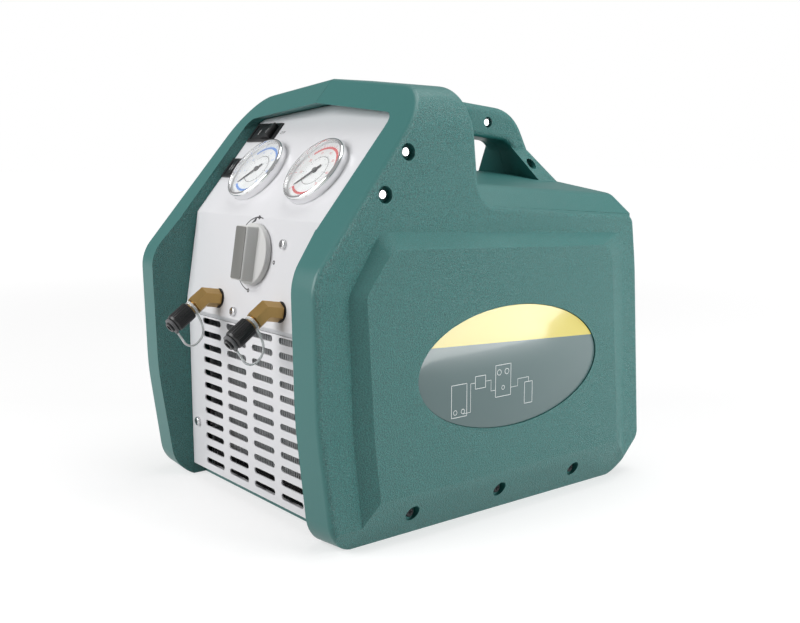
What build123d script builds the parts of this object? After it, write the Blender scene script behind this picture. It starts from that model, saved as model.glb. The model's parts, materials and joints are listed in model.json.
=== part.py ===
from build123d import *
import math
import os

# Housing: two moulded halves that meet on the centre plane
bay_half_width = 106.5      # centre to the side wall of the control bay
rim_width = 37.0            # from that wall to the flat side of the half
panel_proud = 10.0          # raised panel on the side
front_height = 206.0        # floor to the bend of the front
tower_rise = 154.0          # bend to the top of the tower
tower_depth = 25.0          # flat top of the tower, front to back
belly_z = 99.9              # height of the bulge in the front edge
crease_rise = 45.8          # bend to the side edge of the rear roof
crown_rise = 36.0           # that edge to the middle of the roof
body_depth = 363.3          # front face to rear face along the flat side
centre_shift = -6.7         # sets the origin midway between the caps and the rear
wall = 3.5
bay_wall = 3.0
bay_run = 12.0              # how far the bay's walls run on behind the panel
edge_round = 5.7
seam_gap = 0.3
draft = math.tan(math.radians(3.5))
bay_draft = math.tan(math.radians(15.6))
slant = math.radians(40.0)  # lean of the upper front, from the vertical
side_lean = math.tan(math.radians(3.3))
rear_lean = math.tan(math.radians(4.3))
roof_fall = 0.0705          # slope of the rear roof, front to back
foot_bevel_height = 38.0    # lower band on the side
foot_bevel_run = 18.5
label_long = 100.0          # half axes of the label recess
label_high = 50.0
label_depth = 2.0
label_sheet = 1.0
label_back = 185.8          # front face to the middle of the label
label_z = 125.0

# Handle
handle_half_width = 20.0
handle_thick = 31.0
handle_round = 8.0
handle_drop = 7.4           # top of the tower to the top of the handle
handle_slope = 0.104

# Control panel and grille
sheet = 1.2
sheet_gap = 0.5             # panel edge to bay wall
panel_bend_up = 54.6        # along the slanted front, housing bend to panel bend
panel_set_back = 6.8        # panel behind the slanted front
knob_facet_length = 87.6
knob_facet_lean = math.radians(9.4)
ledge = 3.0                 # knob facet's foot ahead of the grille
grille_foot = 10.5
slot_length = 32.8
slot_height = 5.4
slot_pitch = 11.7
column_pitch = 42.6
slot_columns = 4
top_web = 1.6               # grille's top edge to the first slots
grille_screw_x = 94.0
grille_screw_z = 52.8

# Controls
gauge_diameter = 63.0
gauge_x = 45.5
gauge_up = 46.5
gauge_can = 54.0
gauge_can_depth = 26.0
bezel_height = 9.0
bezel_wall = 2.6
dial_up = 3.0               # dial above the panel
rocker_angle = 8.0
power_x = -82.0
power_up = 91.0
power_length = 43.0
start_x = -95.0
start_up = 49.6
switch_width = 21.0
knob_x = 3.0
knob_down = 30.8
knob_radius = 25.5
knob_height = 15.0
grip_length = 46.0
grip_width = 22.0
stem_diameter = 8.0
port_x = (-48.0, 52.0)
port_down = 72.9
port_flats = 14.0
port_leg = 14.5
port_reach = 17.0
flare_thread = 11.1
flare_length = 13.0
cap_diameter = 16.0
cap_length = 23.5
grommet_hole = 8.6
ring_radius = 7.0           # swivel ring on the cap's end
ring_height = 2.6
lug_reach = 8.0             # its lug, out to the strap
cap_end_radius = 4.6
cap_end = 5.0
strap = 1.9
strap_run = 5.5             # straight out of the lug
strap_rise = 7.5            # straight into the collar

# Works inside
pan_sheet = 1.5
core_depth = 22.0
core_half_width = 97.0
core_foot = 26.0
fin_pitch = 2.8
fin_gap = 1.3
fin_groove = 3.0
fan_diameter = 130.0
fan_blades = 5
fan_z = 84.0
comp_z = 92.0
comp_back = 151.8           # front face to the compressor
mount_height = 16.0
can_x = -92.0
can_back = 243.8            # front face to the capacitor
motor_diameter = 58.0
window_half_width = 90.0
window_foot = 42.0
window_head = 212.0
rear_recess = 9.0
lip_width = 9.0
inlet_x = 55.0
inlet_z = 68.0

# Screws and fits
screw_diameter = 4.0
screw_hole = 4.4
screw_head = 8.0
head_height = 2.8
counterbore = 13.0
counterbore_depth = 6.0
boss_wall = 3.0
soft_gap = 0.3              # between faces that touch without a fit
fit = 0.05                  # radial play of a shaft in its bore

half_width = bay_half_width + rim_width
front_y = -(body_depth / 2 + centre_shift)
rear_y = front_y + body_depth
top_z = front_height + tower_rise
tower_front_y = front_y + tower_rise * math.tan(slant)
tower_back_y = tower_front_y + tower_depth
lean_z = front_height - 10
sin_s, cos_s = math.sin(slant), math.cos(slant)
sin_k, cos_k = math.sin(knob_facet_lean), math.cos(knob_facet_lean)
panel_bend_y = front_y + panel_bend_up * sin_s + panel_set_back * cos_s
panel_bend_z = front_height + panel_bend_up * cos_s - panel_set_back * sin_s
knob_foot_y = panel_bend_y - knob_facet_length * sin_k
knob_foot_z = panel_bend_z - knob_facet_length * cos_k
grille_y = knob_foot_y + ledge
grille_top = knob_foot_z - 4.6
panel_half_width = bay_half_width - sheet_gap
eave_z = top_z - 34
ridge_z = top_z - 22.7
boss_radius = counterbore / 2 + boss_wall
pan_half_width = half_width - 22
pan_top = wall + soft_gap + pan_sheet
core_front = grille_y + 16
core_back = core_front + core_depth
comp_front = front_y + comp_back
capacitor_y = front_y + can_back
port_fall = math.radians(45) - knob_facet_lean
STAND = (Align.CENTER, Align.CENTER, Align.MIN)


def across(x):
    """Plane square to the width at x, drawn in Y and Z and facing outwards."""
    return Plane(origin=(x, 0, 0), x_dir=(0, 1, 0), z_dir=(1, 0, 0))


def on_gauge_facet(x, up, lift=0.0):
    """Upper facet of the panel: x across, y up the facet, z out of it."""
    y = panel_bend_y + up * sin_s - lift * cos_s
    z = panel_bend_z + up * cos_s + lift * sin_s
    return Plane(origin=(x, y, z), x_dir=(1, 0, 0), z_dir=(0, -cos_s, sin_s))


def on_knob_facet(x, down, lift=0.0):
    """Lower facet of the panel, measured down from the bend."""
    y = panel_bend_y - down * sin_k - lift * cos_k
    z = panel_bend_z - down * cos_k + lift * sin_k
    return Plane(origin=(x, y, z), x_dir=(1, 0, 0), z_dir=(0, -cos_k, sin_k))


def brick(x, y, z):
    """Block between pairs of limits."""
    middle = Pos((x[0] + x[1]) / 2, (y[0] + y[1]) / 2, (z[0] + z[1]) / 2)
    return middle * Box(x[1] - x[0], y[1] - y[0], z[1] - z[0])


def post(plane, radius, height):
    """Cylinder that stands on a plane."""
    return plane * Cylinder(radius, height, align=STAND)


def outline(corners):
    """Face with one radius for each corner."""
    points = [(p, q) for p, q, radius in corners]
    return make_face(FilletPolyline(*points, radius=[radius for p, q, radius in corners], close=True))


def grown(corners, d):
    """Outline with each side moved outwards by d; convex arcs grow and hollow ones shrink."""
    count = len(corners)
    area = sum(corners[i - 1][0] * corners[i][1] - corners[i][0] * corners[i - 1][1]
               for i in range(count))
    turn = 1 if area > 0 else -1
    sides = []
    for i in range(count):
        (p0, q0, _), (p1, q1, _) = corners[i], corners[(i + 1) % count]
        length = math.hypot(p1 - p0, q1 - q0)
        a, b = turn * (q1 - q0) / length, -turn * (p1 - p0) / length
        sides.append((a, b, a * p0 + b * q0 + d))
    moved = []
    for i in range(count):
        (a, b, c), (p, q, r) = sides[i - 1], sides[i]
        det = a * q - b * p
        change = d if turn * det > 0 else -d
        radius = corners[i][2]
        rounded = max(radius + change, 0) if radius else 0
        moved.append(((c * q - b * r) / det, (a * r - c * p) / det, rounded))
    return moved


def crease_z(y):
    """Height of the rear roof's side edge."""
    return front_height + crease_rise - roof_fall * (y - tower_back_y)


def drafted(corners, inset):
    """Side outline drawn out from the centre plane with the mould's draft."""
    reach = half_width - inset
    middle = outline(grown(corners, half_width * draft - inset))
    edge = outline(grown(corners, inset * draft - inset))
    return loft([across(0) * middle, across(reach) * edge], ruled=True)


def border_edges(body, ahead):
    """Sharp edges round the side of the housing, ahead of the tower's top or behind it."""
    faces = body.faces()
    split = tower_front_y + tower_depth / 2
    chosen = []
    for edge in body.edges():
        middle = edge @ 0.5
        if middle.Z < 0.5 or middle.X < 1 or (middle.Y < split) != ahead:
            continue
        sides = [face for face in faces if any(edge.is_same(other) for other in face.edges())]
        if len(sides) == 2 and sides[0].normal_at(middle).get_angle(sides[1].normal_at(middle)) > 25:
            chosen.append(edge)
    return chosen


def side_corners():
    """Silhouette of the housing from the side: nose, tower, rear roof and heel."""
    crest = 3.0
    rear_top_z = crease_z(rear_y) + crest
    return [(front_y + 15.6, 0, 28), (front_y + 2.4, belly_z, 250), (front_y, front_height, 34),
            (tower_front_y, top_z, 8), (tower_back_y, top_z, 12),
            (tower_back_y + 6, crease_z(tower_back_y + 6) + crest, 22),
            (rear_y - (rear_top_z - 33) * rear_lean, rear_top_z, 9), (rear_y, 33, 14), (rear_y - 33.5, 0, 18)]


def rim_block(inset):
    """Main body: the silhouette, with the leaning side and the tower's shoulder."""
    section = [(-20, 0, 0), (half_width, 0, 0), (half_width, lean_z, 400),
               (half_width - (top_z - 15.5 - lean_z) * side_lean, top_z - 15.5, 44), (-20, top_z, 0)]
    body = drafted(side_corners(), inset)
    body = body & extrude(Plane.XZ * outline(grown(section, -inset)), amount=2 * body_depth, both=True)
    if inset == 0:
        body = fillet(border_edges(body, True), edge_round)
        body = fillet(border_edges(body, False), edge_round)
    return body


def roof_block(inset):
    """Hipped roof of the rear body, between the two creases."""
    hidden_z = front_height + 90
    front = tower_back_y - 20
    corners = [(front, 20, 0), (front, hidden_z, 0), (rear_y - (hidden_z - 33) * rear_lean, hidden_z, 0),
               (rear_y, 33, 14), (rear_y - 13.2, 20, 0)]
    fall = math.cos(math.atan(roof_fall))
    edge_z = crease_z(0)
    edge_x = half_width - (edge_z - lean_z) * side_lean - 5
    bevel_x = bay_half_width + 5.5
    ridge = edge_z + crown_rise + 20 * (crown_rise - 20.5) / bevel_x
    section = [(-20, edge_z - 30, 0), (edge_x, edge_z - 30, 0), (edge_x, edge_z + 3.4, 0),
               (bevel_x, edge_z + 20.5, 20), (-20, ridge, 0)]
    section = [(x, z * fall, radius) for x, z, radius in section]
    tilt = Plane(origin=(0, 0, 0), x_dir=(1, 0, 0), z_dir=(0, -fall, fall * roof_fall))
    prism = extrude(tilt * outline(grown(section, -inset)), amount=2 * body_depth, both=True)
    return prism & drafted(corners, inset)


def raised_panel(inset):
    """Raised panel on the side, with sloped flanks."""
    base = [(front_y + 59.8, front_height + 30, 14), (front_y + 29, front_height - 13, 14),
            (front_y + 32.3, belly_z - 12, 60), (front_y + 42.8, -10, 0), (rear_y - 20, -10, 0),
            (rear_y - 35, front_height + 18, 15)]
    face = [(front_y + 61.8, front_height + 20, 12), (front_y + 38.3, front_height - 12, 12),
            (front_y + 44.5, belly_z - 12, 60), (front_y + 55.8, -10, 0), (rear_y - 40.5, -10, 0),
            (rear_y - 60, front_height + 10.5, 15)]
    root = 3.0
    reach = root / panel_proud
    deep = [(b[0] + reach * (b[0] - f[0]), b[1] + reach * (b[1] - f[1]), b[2]) for b, f in zip(base, face)]
    inner = across(half_width - root - inset) * outline(grown(deep, -inset))
    outer = across(half_width + panel_proud - inset) * outline(grown(face, -inset))
    limit = across(half_width - 20) * outline(grown(side_corners(), -4 - inset))
    return loft([inner, outer], ruled=True) & extrude(limit, amount=20 + 2 * panel_proud)


def foot_bevel(inset):
    """What the sloping lower band takes off the side."""
    top_x = half_width + panel_proud
    lean = foot_bevel_run / foot_bevel_height
    corners = [(top_x + 20 * lean, foot_bevel_height + 20, 0), (top_x - foot_bevel_run - 20 * lean, -20, 0),
               (top_x + 90, -20, 0), (top_x + 90, foot_bevel_height + 20, 0)]
    return extrude(Plane.XZ * outline(grown(corners, inset)), amount=2 * body_depth, both=True)


def housing_form(inset):
    """Closed form of the right half, every outer face moved inwards by inset."""
    form = rim_block(inset) + roof_block(inset) + raised_panel(inset)
    return form - foot_bevel(inset)


def handle_top(y):
    return top_z - handle_drop - handle_slope * (y - tower_back_y)


def handle_edges(grip, over):
    """Edges along the outside of the grip and its rear leg, or those along the finger opening."""
    chosen = []
    for edge in grip.edges():
        middle = edge @ 0.5
        outside = handle_top(middle.Y) - middle.Z < handle_thick / 2 or middle.Y > rear_y - 27
        seen = middle.Z > crease_z(rear_y) + 26 and middle.Y > tower_back_y - 10
        if abs(middle.X - handle_half_width) < 0.01 and seen and outside == over:
            chosen.append(edge)
    return chosen


def handle_half():
    """Right half of the carrying handle, with a rear leg that widens into the roof."""
    leg_y = rear_y - 47.5
    under = handle_top(leg_y) - handle_thick + 2
    loop = [(tower_back_y - 14, handle_top(tower_back_y - 14), 0), (leg_y, handle_top(leg_y), 42),
            (rear_y - 8, crease_z(rear_y) + 27, 0), (rear_y - 12, crease_z(rear_y) + 8, 0),
            (leg_y + 15, crease_z(rear_y) + 8, 0), (leg_y + 12, crease_z(rear_y) + 24, 0),
            (leg_y - 5.7, under, 18),
            (tower_back_y - 14, handle_top(tower_back_y - 14) - handle_thick, 0)]
    grip = extrude(across(0) * outline(loop), amount=handle_half_width)
    grip = fillet(handle_edges(grip, True), handle_round)
    grip = fillet(handle_edges(grip, False), handle_round - 2)
    base_z = crease_z(rear_y) + 8
    leg = [(leg_y - 5.7, under, 0), (leg_y + 12, base_z + 16, 0), (leg_y + 17, base_z, 0),
           (rear_y - 15, base_z, 0),
           (rear_y - 13, base_z + 19, 0), (rear_y - 32, base_z + 53, 0)]
    wide = handle_half_width + 28
    flare = [(0, base_z + 60, 0), (handle_half_width - 5, base_z + 60, 0), (wide, base_z + 20, 6),
             (wide, base_z, 0), (0, base_z, 0)]
    slab = extrude(across(0) * outline(leg), amount=half_width / 2)
    return grip + (slab & extrude(Plane.XZ * outline(flare), amount=2 * body_depth, both=True))


def gable(grow):
    """Prism under the bay's gabled top edge."""
    side = bay_half_width + 1.7 + grow
    slope = (ridge_z - eave_z) / bay_half_width
    corners = [(-20, -20, 0), (side, -20, 0), (side, eave_z + grow, 10),
               (0, ridge_z + grow, 0), (-20, ridge_z + grow - 20 * slope, 0)]
    return extrude(Plane.XZ * outline(corners), amount=2 * body_depth, both=True)


def bay(grow):
    """Open space of the control bay; grow adds its walls."""
    side = bay_half_width + grow
    back_y = grille_y + bay_run
    ahead_y = front_y - 25
    flare = (grille_y - ahead_y) * bay_draft
    plan = [(-20, back_y, 0), (side, back_y, 0), (side, grille_y, 0), (side + flare, ahead_y, 0),
            (-20, ahead_y, 0)]
    lower = extrude(Plane.XY.offset(-5) * outline(plan), amount=panel_bend_z + 8)
    reach = 30.0
    low, high = -12.0, tower_rise + 20
    behind = on_gauge_facet(0, 0, -bay_run) * brick((-20, side), (low, high), (0, bay_run))
    near = [(-20, low, 0), (side, low, 0), (side, high, 0), (-20, high, 0)]
    wide = side + reach * bay_draft
    far = [(-20, low, 0), (wide, low, 0), (wide, high, 0), (-20, high, 0)]
    ahead = loft([on_gauge_facet(0, 0) * outline(near), on_gauge_facet(0, 0, reach) * outline(far)],
                 ruled=True)
    return lower + ((behind + ahead) & gable(grow))


def side_x(z):
    """Outer face of the flat side, leaning above the bend."""
    return half_width - max(z - lean_z, 0) * side_lean


def shell_screw_places():
    """Screw axes on the side: y, z, face of the shell, inner end of the boss."""
    up = [(tower_front_y - 40.6, top_z - 63.7), (tower_front_y - 63.6, top_z - 94.6)]
    inner = bay_half_width + bay_wall / 2
    places = [(y, z, side_x(z), inner) for y, z in up]
    low_z = 19.0
    face = half_width + panel_proud - foot_bevel_run * (1 - low_z / foot_bevel_height)
    places += [(y, low_z, face, pan_half_width) for y in (front_y + 87.8, front_y + 181, front_y + 270.6)]
    return places


def handle_screw_places():
    return [(rear_y - 83.5, handle_top(rear_y - 83.5) - handle_thick / 2, handle_half_width),
            (rear_y - 36.5, crease_z(rear_y) + 48, handle_half_width + 2)]


def side_bore(y, z, x_from, x_to, radius):
    return post(across(x_from) * Pos(y, z, 0), radius, x_to - x_from)


def label_ellipse(grow, x, depth):
    place = across(x) * Pos(front_y + label_back, label_z, 0)
    return extrude(place * Ellipse(label_long + grow, label_high + grow), amount=depth)


def rear_plane(lift):
    """Plane of the rear sheet, set in from the rear face; x runs to the left, y up."""
    angle = math.atan(rear_lean)
    y = rear_y - rear_recess
    return Plane(origin=(0, y + lift * math.cos(angle), lift * math.sin(angle)), x_dir=(-1, 0, 0),
                 z_dir=(0, math.cos(angle), math.sin(angle)))


def rear_window(lift, grow):
    """Block over the rear window from a level outwards."""
    side = window_half_width + grow
    return rear_plane(lift) * brick((-side, side), (window_foot - grow, window_head + grow), (0, 60))


def rear_screw_places():
    edge = lip_width / 2
    return [(side * (window_half_width - edge), up) for side in (-1, 1)
            for up in (window_foot + edge, window_head - edge)]


def shell_half(handle_bored):
    """One half, modelled on the right."""
    solid = housing_form(0) + handle_half()
    cavity = housing_form(wall) - bay(bay_wall)
    for y, z, face, inner in shell_screw_places():
        cavity -= side_bore(y, z, inner, face, boss_radius)
    cavity -= rear_window(-sheet - soft_gap - 4, wall)
    solid = solid - cavity - bay(0)
    for y, z, face, inner in shell_screw_places():
        solid -= side_bore(y, z, face - counterbore_depth, face + 20, counterbore / 2)
        solid -= side_bore(y, z, inner - 10, face, screw_hole / 2)
    for y, z, face in handle_screw_places():
        if handle_bored:
            solid -= side_bore(y, z, face - 5, face + 40, screw_head / 2 + 1)
            solid -= side_bore(y, z, -1, face, screw_hole / 2)
        else:
            solid -= side_bore(y, z, -1, 14, screw_diameter / 2 + fit)
    solid -= label_ellipse(0, half_width + panel_proud - label_depth, 10)
    seat = -sheet - soft_gap
    solid -= rear_window(seat, 0)
    solid -= rear_window(-40, -lip_width)
    for x, up in rear_screw_places():
        solid -= post(rear_plane(seat - 10) * Pos(x, up, 0), screw_diameter / 2 + fit, 20)
    return solid - brick((-50, seam_gap / 2), (-400, 400), (-50, 500))


def shell_right():
    return shell_half(True)


def shell_left():
    return mirror(shell_half(False), about=Plane.YZ)


def label_plate():
    return label_ellipse(-0.4, half_width + panel_proud - label_depth + 0.1, label_sheet)


def panel_profile(back):
    """Panel's folded line from its top edge down to the grille, moved back by its thickness or flange."""
    top = (ridge_z - panel_bend_z) / cos_s + 8
    upper = on_gauge_facet(0, top, -back).origin
    knee_shift = math.tan((slant - knob_facet_lean) / 2) * back
    knee = on_gauge_facet(0, knee_shift, -back).origin
    foot = on_knob_facet(0, knob_facet_length, -back).origin
    return upper, knee, foot


def control_panel():
    """Folded sheet with gauge facet, knob facet and ledge."""
    upper, knee, foot = panel_profile(0)
    upper_in, knee_in, foot_in = panel_profile(sheet)
    lip_z = grille_top + 0.4
    skin = [(upper.Y, upper.Z, 0), (knee.Y, knee.Z, 4), (foot.Y, foot.Z, 1.5), (grille_y, lip_z, 0.8),
            (grille_y + bay_run, lip_z, 0), (grille_y + bay_run, lip_z + sheet, 0),
            (grille_y + 0.6, lip_z + sheet, 0), (foot_in.Y, foot_in.Z + 0.6, 0),
            (knee_in.Y, knee_in.Z, 4 - sheet),
            (upper_in.Y, upper_in.Z, 0)]
    body = extrude(across(0) * outline(skin), amount=panel_half_width, both=True)
    deep = bay_run - 1
    upper_back, knee_back, foot_back = panel_profile(deep)
    flank = [(upper.Y, upper.Z, 0), (knee.Y, knee.Z, 0), (foot.Y, foot.Z, 0), (grille_y, lip_z, 0),
             (grille_y + deep, lip_z, 0), (foot_back.Y, foot_back.Z + 4, 0), (knee_back.Y, knee_back.Z, 0),
             (upper_back.Y, upper_back.Z, 0)]
    cheek = extrude(across(panel_half_width - sheet) * outline(flank), amount=sheet)
    body = body + cheek + mirror(cheek, about=Plane.YZ)
    roof = gable(-sheet_gap)
    body = body & (roof + mirror(roof, about=Plane.YZ))
    for x in (-gauge_x, gauge_x):
        body -= post(on_gauge_facet(x, gauge_up, -5), gauge_can / 2 + 0.5, 10)
    body -= on_gauge_facet(power_x, power_up) * Box(power_length - 4, switch_width - 2.4, 10)
    body -= on_gauge_facet(start_x, start_up) * Box(switch_width - 4, switch_width - 2.4, 10)
    body -= post(on_knob_facet(knob_x, knob_down, -5), stem_diameter / 2 + 1, 10)
    for x in port_x:
        body -= post(on_knob_facet(x, port_down, -5), grommet_hole, 10)
    for x, down in panel_screw_places():
        body -= post(on_knob_facet(x, down, -5), screw_hole / 2, 10)
    for y, z, face, inner in shell_screw_places()[:2]:
        hole = side_bore(y, z, 0, half_width, screw_hole / 2)
        body = body - hole - mirror(hole, about=Plane.YZ)
    return body


def panel_screw_places():
    return [(45.0, 19.7), (-20.0, 81.3)]


def grille_screw_places():
    return [(-grille_screw_x, grille_screw_z), (grille_screw_x, grille_screw_z)]


def front_grille():
    """Slotted sheet with flanges back at its sides and foot."""
    across_bay = (-panel_half_width, panel_half_width)
    deep = grille_y + bay_run - 1
    body = brick(across_bay, (grille_y, grille_y + sheet), (grille_foot, grille_top))
    for side in (-1, 1):
        edge = sorted((side * panel_half_width, side * (panel_half_width - sheet)))
        body += brick(edge, (grille_y, deep), (grille_foot, grille_top))
    body += brick(across_bay, (grille_y, deep), (grille_foot, grille_foot + sheet))
    first_z = grille_top - top_web - slot_height / 2
    rows = int((first_z - grille_foot - 6) / slot_pitch) + 1
    slot = extrude(Plane.XZ * SlotOverall(slot_length, slot_height), amount=10, both=True)
    for row in range(rows):
        for column in range(slot_columns):
            x = (column - (slot_columns - 1) / 2) * column_pitch
            body -= Pos(x, grille_y, first_z - row * slot_pitch) * slot
    for x, z in grille_screw_places():
        body -= post(Plane(origin=(x, grille_y + 5, z), z_dir=(0, -1, 0)), screw_hole / 2, 10)
    return body


def gauge_case(x):
    """Can behind the panel with a bezel ring in front and a spindle for the needle."""
    place = on_gauge_facet(x, gauge_up)
    can = post(place.offset(-gauge_can_depth), gauge_can / 2, gauge_can_depth + dial_up)
    ring = post(place, gauge_diameter / 2, bezel_height)
    rim = ring.edges().filter_by(GeomType.CIRCLE).sort_by_distance(place.offset(bezel_height).origin)
    ring = chamfer(rim[:1], 1.4)
    bore = post(place.offset(dial_up), gauge_diameter / 2 - bezel_wall, bezel_height)
    stem = post(place.offset(-gauge_can_depth - 14), 5, 16)
    return can + (ring - bore) + stem


def gauge_dial(x):
    """Printed dial plate with the spindle."""
    place = on_gauge_facet(x, gauge_up, dial_up)
    plate = post(place, gauge_diameter / 2 - bezel_wall - 0.1, 0.6)
    return plate + post(place, 0.9, 2.6)


def gauge_needle(x):
    """Pointer at the start of its scale, lower left."""
    place = on_gauge_facet(x, gauge_up, dial_up + 1.0)
    hub = post(place, 2.6, 1.1)
    start = math.radians(225)
    pointer = make_face(Polyline((-6, -0.9), (0, -1.2), (21, -0.25), (21, 0.25), (0, 1.2), (-6, 0.9),
                                 close=True))
    blade = extrude(place * Rot(0, 0, math.degrees(start)) * pointer, amount=0.5)
    return (hub + blade) - post(place.offset(-1), 0.9 + fit, 5)


def gauge_lens(x):
    place = on_gauge_facet(x, gauge_up, bezel_height - 2.4)
    return post(place, gauge_diameter / 2 - bezel_wall - 0.1, 1.2)


def switch_body(x, up, length):
    """Frame and box of a rocker switch, with bearings for the rocker."""
    place = on_gauge_facet(x, up)
    frame = place * brick((-length / 2, length / 2), (-switch_width / 2, switch_width / 2), (0, 1.6))
    box_l, box_w = length - 4.6, switch_width - 2.8
    box = place * brick((-box_l / 2, box_l / 2), (-box_w / 2, box_w / 2), (-22, 0.5))
    pocket_l, pocket_w = box_l / 2 - 0.8, box_w / 2 - 1.4
    pocket = place * brick((-pocket_l, pocket_l), (-pocket_w, pocket_w), (-13, 10))
    bearing = place * Pos(0, 0, -3) * Rot(90, 0, 0) * Cylinder(1.5 + fit, box_w - 0.4)
    return frame + box - pocket - bearing


def switch_rocker(x, up, length):
    """Rocker tipped to its off side."""
    half = length / 2 - 4.3
    rise = 1.6 + half * math.tan(math.radians(rocker_angle))
    width = switch_width - 2.8 - 2.8 - 2 * soft_gap
    corners = [(-half, rise, 1), (0, 1.6, 0), (half, rise, 1), (half - 1, -3, 0), (half / 2, -8, 2),
               (-half / 2, -8, 2), (-half + 1, -3, 0)]
    bar = extrude(Plane.XZ * outline(corners), amount=width / 2, both=True)
    pins = Pos(0, 0, -3) * Rot(90, 0, 0) * Cylinder(1.5, width + 2.2)
    tip = Pos(0, 0, -3) * Rot(0, -rocker_angle, 0) * Pos(0, 0, 3)
    return on_gauge_facet(x, up) * tip * (bar + pins)


def valve_knob():
    """Selector knob: skirt and bar grip, on a round stem."""
    place = on_knob_facet(knob_x, knob_down, 0.8)
    skirt = post(place, knob_radius, 5)
    rim = skirt.edges().filter_by(GeomType.CIRCLE).sort_by_distance(place.offset(5).origin)
    skirt = chamfer(rim[:1], 1.0)
    half = grip_width / 2
    bar = [(-half, 0, 0), (-half + 2.4, knob_height, 2), (half - 2.4, knob_height, 2), (half, 0, 0)]
    prism = extrude(Plane.XZ * outline(bar), amount=grip_length / 2, both=True)
    grip = prism & Cylinder(grip_length / 2 + 1, knob_height + 10, align=STAND)
    knob = skirt + place * grip
    return knob - post(place.offset(-1), stem_diameter / 2 + fit, knob_height - 3)


def valve_stem():
    return post(on_knob_facet(knob_x, knob_down, -26), stem_diameter / 2, 26 + knob_height - 4)


def valve_block():
    """Machined block behind the knob facet; it takes the stem, the ports and the panel screws."""
    left, right = port_x[0] - 15, port_x[1] + 15
    low, high = port_down + 12.5, knob_down - 17
    place = on_knob_facet(0, 0, -sheet - soft_gap)
    body = place * brick((left, right), (-low, -high), (-30, 0))
    body -= post(on_knob_facet(knob_x, knob_down, -28), stem_diameter / 2 + fit, 40)
    for x in port_x:
        body -= post(on_knob_facet(x, port_down, -20), port_flats / 2 - 1 + fit, 40)
    for x, down in panel_screw_places():
        body -= post(on_knob_facet(x, down, -12), screw_diameter / 2 + fit, 40)
    return body


def port_planes(x):
    """Plane at the elbow's corner along each leg."""
    corner = on_knob_facet(x, port_down, port_leg).origin
    second = Plane(origin=corner, x_dir=(1, 0, 0), z_dir=(0, -math.cos(port_fall), -math.sin(port_fall)))
    return corner, second


def flare_port(x):
    """45 degree elbow: root in the block, hexagon body, male flare thread."""
    corner, second = port_planes(x)
    start = on_knob_facet(x, port_down, 1.5)
    path = Polyline(start.origin, corner, second.offset(port_reach - 5).origin)
    hexagon = start * RegularPolygon(port_flats / 2, 6, major_radius=False, rotation=30)
    body = sweep(hexagon, path=path, transition=Transition.RIGHT)
    root = post(on_knob_facet(x, port_down, -19), port_flats / 2 - 1, 21)
    neck = post(second.offset(port_reach - 5.5), 5.0, 5.5)
    thread = post(second.offset(port_reach - 0.5), flare_thread / 2, flare_length + 0.5)
    nose = post(second.offset(port_reach + flare_length - 2.5), flare_thread / 2, 2.5)
    thread = thread + nose
    end = second.offset(port_reach + flare_length).origin
    tip = chamfer(thread.edges().filter_by(GeomType.CIRCLE).sort_by_distance(end)[:1], 2.4)
    flow = post(second, 2.4, port_reach + flare_length + 5)
    return body + root + neck + tip - flow


def port_grommets():
    """Rubber rings in the two port holes."""
    rings = []
    for x in port_x:
        outer = post(on_knob_facet(x, port_down, -sheet), grommet_hole - 0.05, sheet + 0.4)
        rings.append(outer - post(on_knob_facet(x, port_down, -5), port_flats / 2 - 1 + 0.3, 10))
    return Compound(rings)


def flare_cap(x):
    """Ribbed cap over the flare thread."""
    corner, second = port_planes(x)
    place = second.offset(port_reach + 0.3)
    body = post(place, cap_diameter / 2, cap_length - cap_end)
    ribs = 24
    for i in range(ribs):
        groove = Pos(cap_diameter / 2 + 0.25, 0, 1.5) * Cylinder(0.7, cap_length, align=STAND)
        body -= place * Rot(0, 0, 360 / ribs * i) * groove
    body += post(place.offset(cap_length - cap_end), cap_end_radius, cap_end)
    return body - post(place.offset(-1), flare_thread / 2 + fit + 0.03, flare_length + 2.2)


def ring_plane(x):
    """Plane under the swivel ring, just above the cap's shoulder."""
    corner, second = port_planes(x)
    return second.offset(port_reach + 0.3 + cap_length - cap_end + soft_gap)


def cap_ring(x):
    """Swivel ring round the cap's end, with a lug that reaches out to the strap."""
    place = ring_plane(x)
    lug = place * brick((-1.5, 1.5), (-lug_reach, 1 - ring_radius), (0, ring_height))
    return post(place, ring_radius, ring_height) + lug - post(place.offset(-1), cap_end_radius + 0.1, 6)


def strap_points(x):
    """Route of a cap strap: out of the lug, down in a loop, up to the collar on the elbow's neck."""
    corner, second = port_planes(x)
    down = Vector(0, math.sin(port_fall), -math.cos(port_fall))
    start = ring_plane(x).offset(ring_height / 2).origin + down * (lug_reach + soft_gap)
    end = second.offset(port_reach - 3.0).origin + down * 6.3
    loop = [(7.2, -11.6), (16.0, -13.2), (24.8, -3.9)]
    hung = [Vector(x, start.Y + back, start.Z + up) for back, up in loop]
    return [start, start + down * strap_run, *hung, end + down * strap_rise, end]


def bend_radii(points):
    """Largest arc at each corner of a route that its two runs leave room for."""
    radii = []
    for before, here, after in zip(points, points[1:], points[2:]):
        arriving, leaving = here - before, after - here
        turn = math.radians(arriving.get_angle(leaving))
        radii.append(0.45 * min(arriving.length, leaving.length) / math.tan(turn / 2))
    return radii


def cap_strap(x):
    """Clear strap that hangs between the swivel ring and a collar on the neck of the elbow."""
    corner, second = port_planes(x)
    points = strap_points(x)
    section = Plane(origin=points[0], z_dir=points[1] - points[0]) * Circle(strap / 2)
    loop = sweep(section, path=FilletPolyline(*points, radius=bend_radii(points)))
    collar = post(second.offset(port_reach - 4.2), 6.4, 2.4)
    return loop + collar - post(second.offset(port_reach - 5), 5.15, 6)


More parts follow.
